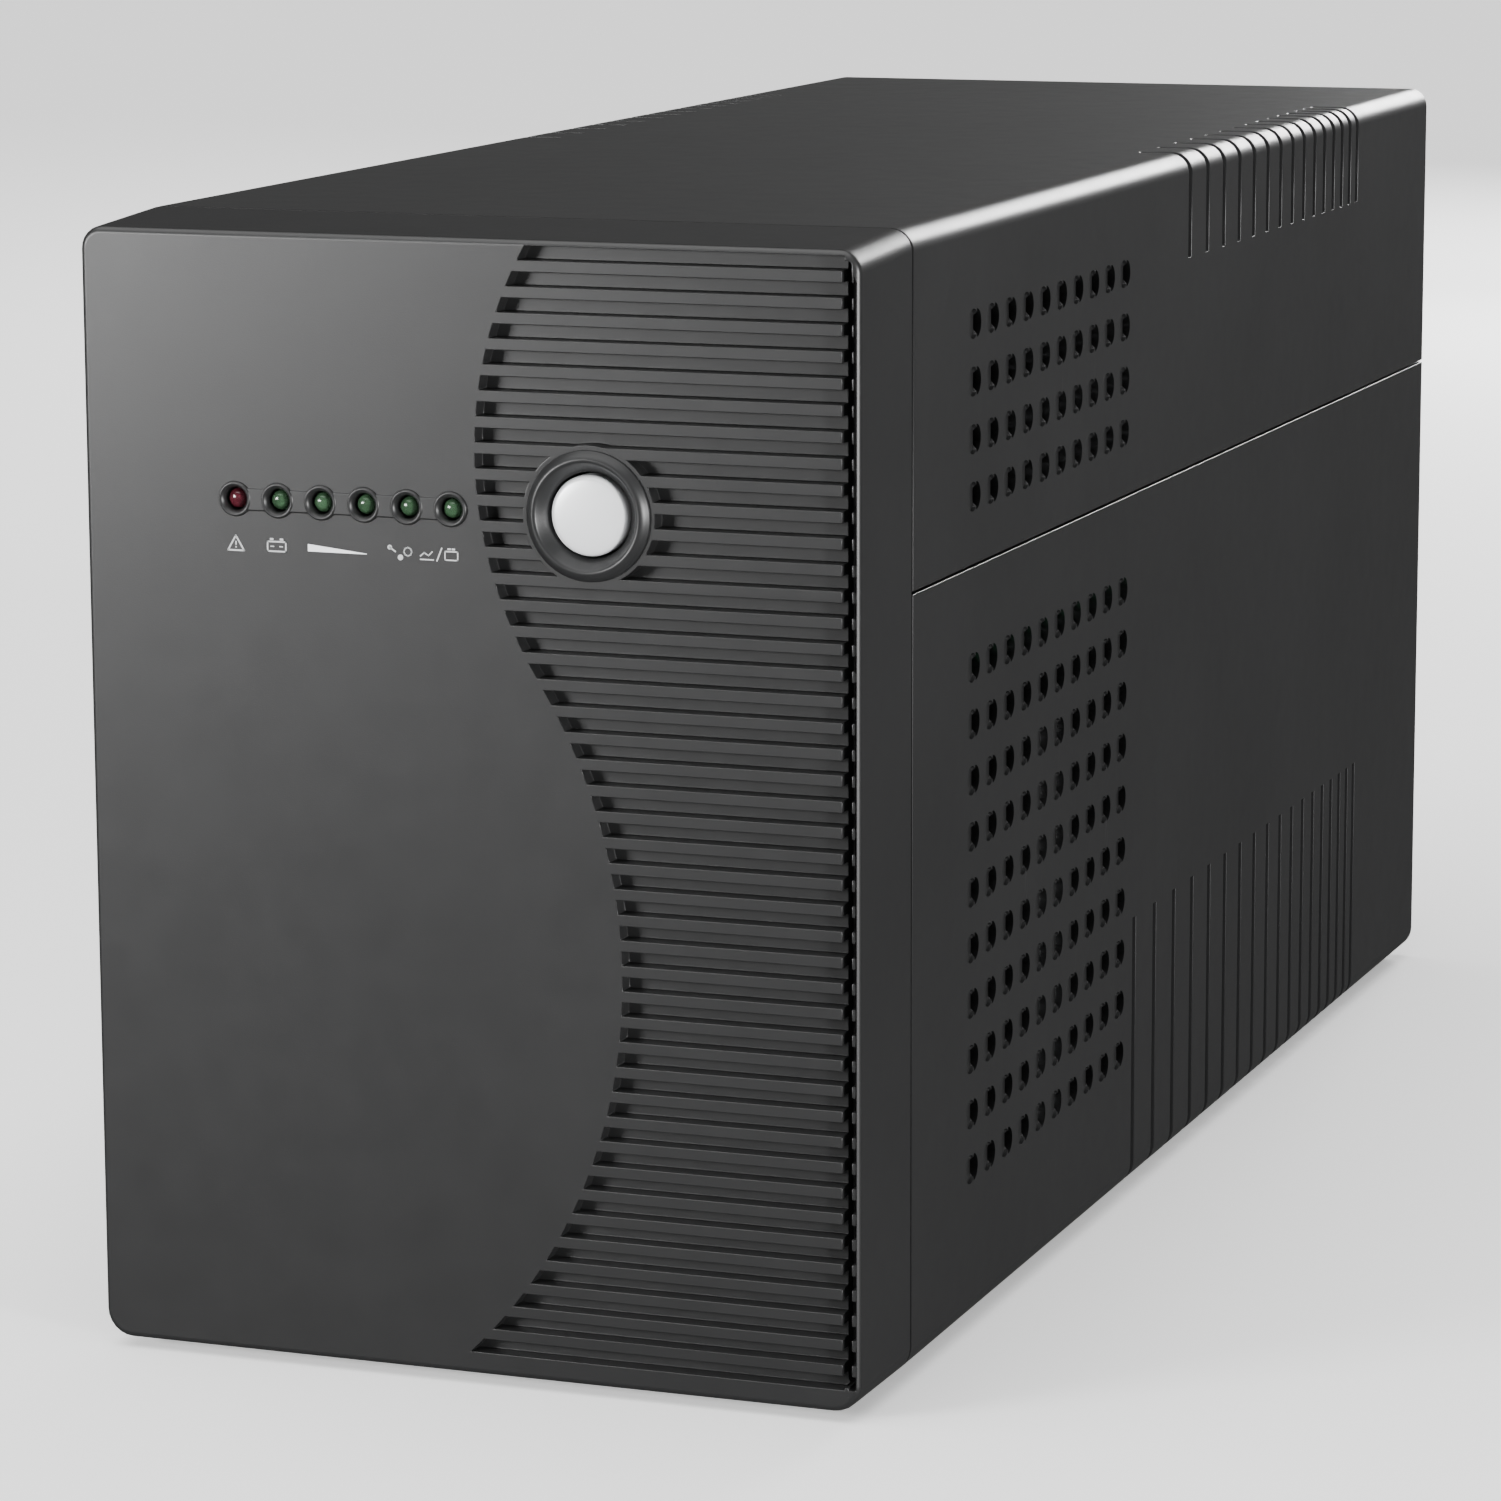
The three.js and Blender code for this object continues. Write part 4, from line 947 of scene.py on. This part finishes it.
def circuit_breaker():
    """A square body behind the panel, a threaded neck and a six-sided nut."""
    spot = centre_of("breaker_button")
    x, z = spot.x, spot.z
    body = slab("body", spread(x, 24), (PANEL_FRONT - 32, PANEL_FRONT - 0.3), spread(z, 24), 1)
    neck = rod("neck", 7, (PANEL_FRONT - 1, SEAT + 0.2), x, z, 48)
    nut = rod("nut", 9.5, (SEAT, FLANGE_BACK - 0.2), x, z, 6)
    crown = rod("crown", 8.5, (SEAT - 4, FLANGE_BACK + 2.1), x, z, 64)
    rounded(crown, 2.6, lambda edge: middle(edge).y > FLANGE_BACK + 2, 5)
    combined(nut, [crown], "INTERSECT")
    collar = rod("collar", 5.8, (SEAT, FLANGE_BACK), x, z, 48)
    for tool in (neck, nut, collar):
        welded(body, [tool])
    cut(body, [rod("bore", 4.3, (PANEL_FRONT - 14, FLANGE_BACK + 1), x, z, 48)])
    return softened(body, 0.18)


def breaker_button():
    low, high = extents("breaker_button")
    spot = (low + high) / 2
    tip, radius = high.y, (high.x - low.x) / 2
    profile = [(0, tip - 0.3), (1.6, tip - 0.25), (2.6, tip - 0.1), (3.0, tip), (3.4, tip - 0.05),
               (3.8, tip - 0.35), (radius, tip - 0.8), (radius, low.y), (0, low.y)]
    return smooth(turned("reset", profile[::-1], spot.x, spot.z, 48), 35)


def data_ports():
    """Two surge-protected line sockets in one shell, each with a latch notch below it."""
    spot = centre_of("data_ports")
    x, z = spot.x, spot.z
    top = FLANGE_BACK - 0.6
    shell = block("shell", spread(x, 32), (PANEL_FRONT - 13, top), spread(z, 14))
    lip = slab("lip", spread(x, 35), (SEAT, top), spread(z, 17), 1)
    welded(shell, [lip])
    for offset in (-7.6, 7.6):
        socket = block("socket", spread(x + offset, 12), (PANEL_FRONT - 11, FLANGE_BACK),
                       spread(z + 0.6, 7))
        notch = block("notch", spread(x + offset, 5), (PANEL_FRONT - 11, FLANGE_BACK), spread(z - 4, 3.4))
        step = block("step", spread(x + offset, 7.6), (PANEL_FRONT - 3, FLANGE_BACK), spread(z - 3.1, 1.6))
        for tool in (socket, notch, step):
            cut(shell, [tool])
    return softened(shell, 0.16)


def socket_wires():
    """Eight gold-coloured wires slanting through the top of each line socket."""
    spot = centre_of("data_ports")
    wire = block("wire", spread(spot.x - 7.6 - 3.57, 0.42), (PANEL_FRONT - 10.8, PANEL_FRONT - 1),
                 spread(spot.z + 3.5, 0.42))
    with editing(wire, "VERT", lambda vert: middle(vert).y < PANEL_FRONT - 9):
        bpy.ops.transform.translate(value=(0, 0, -2.4 * MM))
    shifts = [(1.02 * i + 15.2 * k, 0, 0) for k in (0, 1) for i in range(8)]
    return smooth(joined(row_of(wire, shifts)))


def usb_port():
    """A pressed steel shell with two cut upper corners, round a plastic tongue."""
    spot = centre_of("usb_port")
    x, z = spot.x, spot.z
    shell = block("shell", spread(x, 12), (PANEL_FRONT - 14, PANEL_BACK + 0.8), spread(z, 11))
    rounded(shell, 2.2, lambda edge: lies_along(edge, 1) and middle(edge).z > z, 1)
    bore = block("bore", spread(x, 10.4), (PANEL_FRONT - 9, PANEL_BACK + 2), spread(z, 9.4))
    rounded(bore, 1.9, lambda edge: lies_along(edge, 1) and middle(edge).z > z, 1)
    cut(shell, [bore])
    return softened(shell, 0.15)


def usb_tongue():
    spot = centre_of("usb_port")
    tongue = block("tongue", spread(spot.x, 5.6), (PANEL_FRONT - 10, PANEL_BACK - 0.4),
                   spread(spot.z, 3.2))
    return softened(tongue, 0.4, 3)


def pan_screw(x, z, seat, root, reach=3.2):
    """A pan-head screw with a cross recess, its head standing on a seat."""
    profile = [(0, root), (0.9, root + 1), (1.4, root + 1.6), (1.4, seat), (reach, seat),
               (reach, seat + 0.45), (reach * 0.94, seat + 0.9), (reach * 0.78, seat + 1.3),
               (reach * 0.5, seat + 1.55), (0, seat + 1.65)]
    screw = turned("screw", profile, x, z, 40)
    for wide, tall in ((3.4, 0.75), (0.75, 3.4)):
        arm = block("arm", spread(x, wide), (seat + 0.6, seat + 3), spread(z, tall))
        cut(screw, [arm])
    return softened(screw, 0.06)


# ---------------------------------------------------------------- fan
FAN_BACK = PANEL_FRONT - 0.3
FAN_FRONT = FAN_BACK - 25


def turned_about_fan(piece, degrees):
    """Moves a piece made about the origin to the fan's axis, turned by an angle about it."""
    piece.rotation_euler = (0, math.radians(degrees), 0)
    piece.location = (FAN_X * MM, 0, FAN_Z * MM)
    only(piece)
    bpy.ops.object.transform_apply(location=True, rotation=True, scale=True)
    return piece


def fan_frame():
    """A square frame with a flared bore, cut-back corners and a motor seat on three struts."""
    frame_block = slab("frame", spread(FAN_X, 80), (FAN_FRONT, FAN_BACK), spread(FAN_Z, 80), 4)
    bore = turned("bore", [(0, FAN_FRONT - 1), (39.4, FAN_FRONT - 1), (39.2, FAN_FRONT + 0.5),
                           (38.4, FAN_FRONT + 2.4), (38, FAN_FRONT + 5), (38, FAN_BACK + 1),
                           (0, FAN_BACK + 1)], FAN_X, FAN_Z, 96)
    cut(frame_block, [bore])
    cut(frame_block, [rod("hole", 2.1, (FAN_FRONT - 1, FAN_BACK + 1), x, z, 24) for x, z in fan_corners()])
    waist = []
    for x, z in fan_corners():
        end_x, end_z = math.copysign(1, x - FAN_X), math.copysign(1, z - FAN_Z)
        waist.append(block("waist", sorted((x - end_x * 3, x + end_x * 9)), (FAN_FRONT + 4, FAN_BACK - 4),
                           sorted((z - end_z * 3, z + end_z * 9))))
    cut(frame_block, waist)
    motor = rod("motor", 16, (FAN_BACK - 4, FAN_BACK), FAN_X, FAN_Z, 64)
    welded(frame_block, [motor])
    for i in range(3):
        strut = block("strut", (13, 38.5), (FAN_BACK - 3.4, FAN_BACK - 0.2), (-1.6, 1.6))
        welded(frame_block, [turned_about_fan(strut, i * 120 + 28)])
    cut(frame_block, [rod("bearing", 1.8, (FAN_BACK - 5, FAN_BACK - 1), FAN_X, FAN_Z, 32)])
    return softened(frame_block, 0.3)


def fan_rotor():
    """A hub with a rounded nose and seven twisted blades."""
    front, back = FAN_FRONT + 3, FAN_BACK - 5
    profile = [(0, front + 0.3), (12, front + 0.3), (13.6, front + 0.5), (14.7, front + 1.1),
               (15.3, front + 2), (15.5, front + 3), (15.5, back), (1.5, back), (1.5, FAN_BACK - 1.5),
               (0, FAN_BACK - 1.5)]
    hub = turned("hub", profile, FAN_X, FAN_Z, 72)
    blades = []
    for i in range(7):
        blade = block("blade", (13.5, 38), (-0.75, 0.75), (-9.6, 9.6))
        with editing(blade, "EDGE", lambda edge: lies_along(edge, 0)):
            bpy.ops.mesh.subdivide(number_cuts=6)
        with editing(blade, "EDGE", lambda edge: lies_along(edge, 2)):
            bpy.ops.mesh.subdivide(number_cuts=4)
        applied(blade, "SIMPLE_DEFORM", deform_method="TWIST", deform_axis="X",
                angle=math.radians(24))
        blade.rotation_euler = (math.radians(-36), 0, 0)
        blade.location = (0, (front + back) / 2 * MM, 0)
        only(blade)
        bpy.ops.object.transform_apply(location=True, rotation=True, scale=True)
        blades.append(turned_about_fan(blade, i * 360 / 7))
    sweep = rod("sweep", 36.5, (front + 0.4, back - 0.2), FAN_X, FAN_Z, 96)
    tool = joined(blades)
    combined(tool, [sweep], "INTERSECT")
    welded(hub, [tool])
    return softened(hub, 0.25)


def fan_guard():
    """Welded wire: three hoops over two crossed rods, with a ring round each screw."""
    y = SEAT + 0.8
    wires = []
    for major, minor in ((12, 0.75), (24, 0.75), (36, 0.8)):
        bpy.ops.object.select_all(action="DESELECT")
        bpy.ops.mesh.primitive_torus_add(
            major_segments=96, minor_segments=12, major_radius=major * MM, minor_radius=minor * MM,
            location=(FAN_X * MM, y * MM, FAN_Z * MM), rotation=(math.pi / 2, 0, 0))
        wires.append(settled("hoop"))
    for x, z in fan_corners():
        bpy.ops.object.select_all(action="DESELECT")
        bpy.ops.mesh.primitive_torus_add(
            major_segments=32, minor_segments=12, major_radius=3 * MM, minor_radius=0.75 * MM,
            location=(x * MM, y * MM, z * MM), rotation=(math.pi / 2, 0, 0))
        wires.append(settled("eye"))
    reach = FAN_HOLE * math.sqrt(2) - 3
    for angle in (45, 135):
        bpy.ops.object.select_all(action="DESELECT")
        bpy.ops.mesh.primitive_cylinder_add(vertices=12, radius=0.75 * MM, depth=2 * reach * MM,
                                            rotation=(0, math.pi / 2, 0))
        rod_piece = settled("rod")
        rod_piece.rotation_euler = (0, math.radians(angle), 0)
        rod_piece.location = (FAN_X * MM, (y + 0.05) * MM, FAN_Z * MM)
        only(rod_piece)
        bpy.ops.object.transform_apply(location=True, rotation=True, scale=True)
        wires.append(rod_piece)
    return smooth(joined(wires), 60)


# ---------------------------------------------------------------- placing pieces
def place(piece, name, material, slot, *nodes, body="housing"):
    """Gives a finished piece its name, finish and body, and hides the CAD nodes that it stands for."""
    piece.name = piece.data.name = name
    piece.data.materials.clear()
    piece.data.materials.append(material)
    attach(piece, body)
    if nodes:
        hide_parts(*nodes)
    return piece


place(front_bezel(), "louvred_bezel", CASING, "casing_plastic", "front_bezel")
place(upper_casing(), "upper_cover", CASING, "casing_plastic", "upper_casing")
place(lower_casing(), "lower_tray", CASING, "casing_plastic", "lower_casing")
place(button_ring(), "ring_around_button", RING, "ring_plastic", "button_ring")
place(power_button(), "button_cap", SILVER, "silver_cap", "power_button", body="button")
for i, x in enumerate(lamp_xs()):
    place(lamp_lens(x), f"lamp_lens_{i + 1}", RED_LENS if i == 0 else GREEN_LENS,
          "red_lens" if i == 0 else "green_lens", f"indicator_lens_{i + 1}")

coil = place(button_spring(), "button_coil", STEEL, "steel", "button_spring")
low, high = extents("button_spring")
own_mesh(coil)
place(front_symbols(), "front_symbols", DIM_PRINT, "silver_cap")
place(charge_bar(), "charge_bar", PRINT, "silver_cap")

for name in ("front_left", "front_right", "rear_left", "rear_right"):
    spot = centre_of(f"foot_{name}")
    place(rubber_foot(spot.x, spot.y), f"rubber_foot_{name}", RUBBER, "foot_rubber", f"foot_{name}")

place(rear_panel(), "back_plate", PANEL_PAINT, "panel_paint", "rear_panel")
place(mains_inlet(), "inlet_socket", SOCKET, "socket_plastic", "mains_inlet")
place(inlet_pins(), "inlet_pins", STEEL, "steel")

first_outlet, first_leaves = outlet(), outlet_contacts()
for i, name in enumerate(OUTLETS):
    shift = centre_of(name) - centre_of("outlet_1")
    place(copied(first_outlet, "copy", shift), f"outlet_socket_{i + 1}", SOCKET, "socket_plastic", name)
    place(copied(first_leaves, "copy", shift), f"outlet_leaves_{i + 1}", BRASS, "brass")
for original in (first_outlet, first_leaves):
    bpy.data.meshes.remove(original.data)

place(circuit_breaker(), "breaker_body", SOCKET, "socket_plastic", "circuit_breaker")
place(breaker_button(), "breaker_cap", SILVER, "silver_cap", "breaker_button", body="breaker")
place(data_ports(), "line_sockets", SOCKET, "socket_plastic", "data_ports")
place(socket_wires(), "line_socket_wires", BRASS, "brass")
place(usb_port(), "usb_shell", STEEL, "steel", "usb_port")
place(usb_tongue(), "usb_tongue", SOCKET, "socket_plastic")
for i, name in enumerate(SCREWS):
    spot, low = centre_of(name), extents(name)[0]
    place(pan_screw(spot.x, spot.z, SEAT, low.y), f"pan_screw_{i + 1}", STEEL, "steel", name)
for i, (x, z) in enumerate(fan_corners()):
    place(pan_screw(x, z, SEAT + 1.45, PANEL_FRONT - 8, 3.0), f"fan_screw_{i + 1}", STEEL, "steel")

place(fan_frame(), "fan_shroud", SOCKET, "socket_plastic", "fan_frame")
place(fan_rotor(), "fan_blades", SOCKET, "socket_plastic", "fan_rotor", body="fan")
place(fan_guard(), "wire_guard", STEEL, "steel", "fan_guard")

INNER_FINISHES = {
    "battery_": BATTERY_CASE, "battery_terminal": BRASS, "battery_strap": STEEL,
    "battery_link_lead": BLACK_WIRE, "negative_lead": BLACK_WIRE, "positive_lead": RED_WIRE,
    "transformer_core": CORE_VARNISH, "transformer_coil": WINDING, "transformer_bracket": STEEL,
    "main_board": BOARD_RESIST, "control_board": BOARD_RESIST, "heat_sink": ALUMINIUM,
    "relay": RELAY_CASE, "capacitor": CAN_SLEEVE, "button_switch": SOCKET,
}
for node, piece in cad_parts.items():
    starts = [start for start in INNER_FINISHES if node.startswith(start)]
    if starts and not piece.hide_render:
        for material_slot in piece.material_slots:
            material_slot.material = INNER_FINISHES[max(starts, key=len)]

# ---------------------------------------------------------------- floor, light and camera
def studio():
    bpy.ops.object.select_all(action="DESELECT")
    bpy.ops.mesh.primitive_plane_add(size=30, location=(0, 0, 0))
    floor = bpy.context.object
    floor.name = "floor"
    paper = Finish("white_paper", (0.86, 0.86, 0.86), 0.9, Emission_Strength=0.36)
    paper.shader.inputs["Emission Color"].default_value = (1, 1, 1, 1)
    floor.data.materials.append(paper.material)
    floor.visible_glossy = False
    floor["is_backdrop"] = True
    world = bpy.data.worlds.new("studio")
    bpy.context.scene.world = world
    world.use_nodes = True
    world.node_tree.nodes["Background"].inputs["Color"].default_value = (1, 1, 1, 1)
    world.node_tree.nodes["Background"].inputs["Strength"].default_value = 0.1


def softbox(name, place_m, target_m, size_m, power):
    light = bpy.data.lights.new(name, "AREA")
    light.shape, light.size, light.size_y = "RECTANGLE", *size_m
    light.energy = power
    holder = bpy.data.objects.new(name, light)
    bpy.context.scene.collection.objects.link(holder)
    holder.visible_camera = False
    holder.location = place_m
    aim = Vector(target_m) - Vector(place_m)
    holder.rotation_euler = aim.to_track_quat("-Z", "Y").to_euler()


def camera():
    """Looks down on the front and the right side through a long lens."""
    holder = bpy.data.objects.new("camera", bpy.data.cameras.new("camera"))
    bpy.context.scene.collection.objects.link(holder)
    holder.data.sensor_width, holder.data.lens = 36, 135.43
    holder.location = (0.38244, -1.08409, 0.29376)
    yaw, pitch, roll = math.radians(20.389), math.radians(10.535), math.radians(-0.192)
    turn = Matrix.Rotation(yaw, 3, "Z") @ Matrix.Rotation(math.pi / 2 - pitch, 3, "X")
    holder.rotation_euler = (turn @ Matrix.Rotation(roll, 3, "Z")).to_euler()
    bpy.context.scene.camera = holder


def overhead():
    """Even light from above, as from a white ceiling."""
    light = bpy.data.lights.new("overhead", "SUN")
    light.energy, light.angle = 3.7, math.radians(70)
    holder = bpy.data.objects.new("overhead", light)
    bpy.context.scene.collection.objects.link(holder)
    holder.rotation_euler = (math.radians(12), math.radians(-8), 0)


studio()
overhead()
softbox("front_left", (-0.6, -0.9, 0.27), (0, -0.2, 0.17), (0.3, 0.2), 13.5)
softbox("front", (0.05, -2.4, 0.35), (0, -0.2, 0.11), (0.6, 0.35), 1)
softbox("right", (1.7, -1.05, 0.2), (0.07, -0.2, 0.14), (0.15, 0.25), 62)
softbox("back", (0.25, 2.2, 0.75), (0, 0.15, 0.2), (0.9, 0.16), 42)
softbox("back_low", (-0.05, 1.7, 0.33), (0, 0.15, 0.2), (0.4, 0.12), 3)
camera()

low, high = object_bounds()
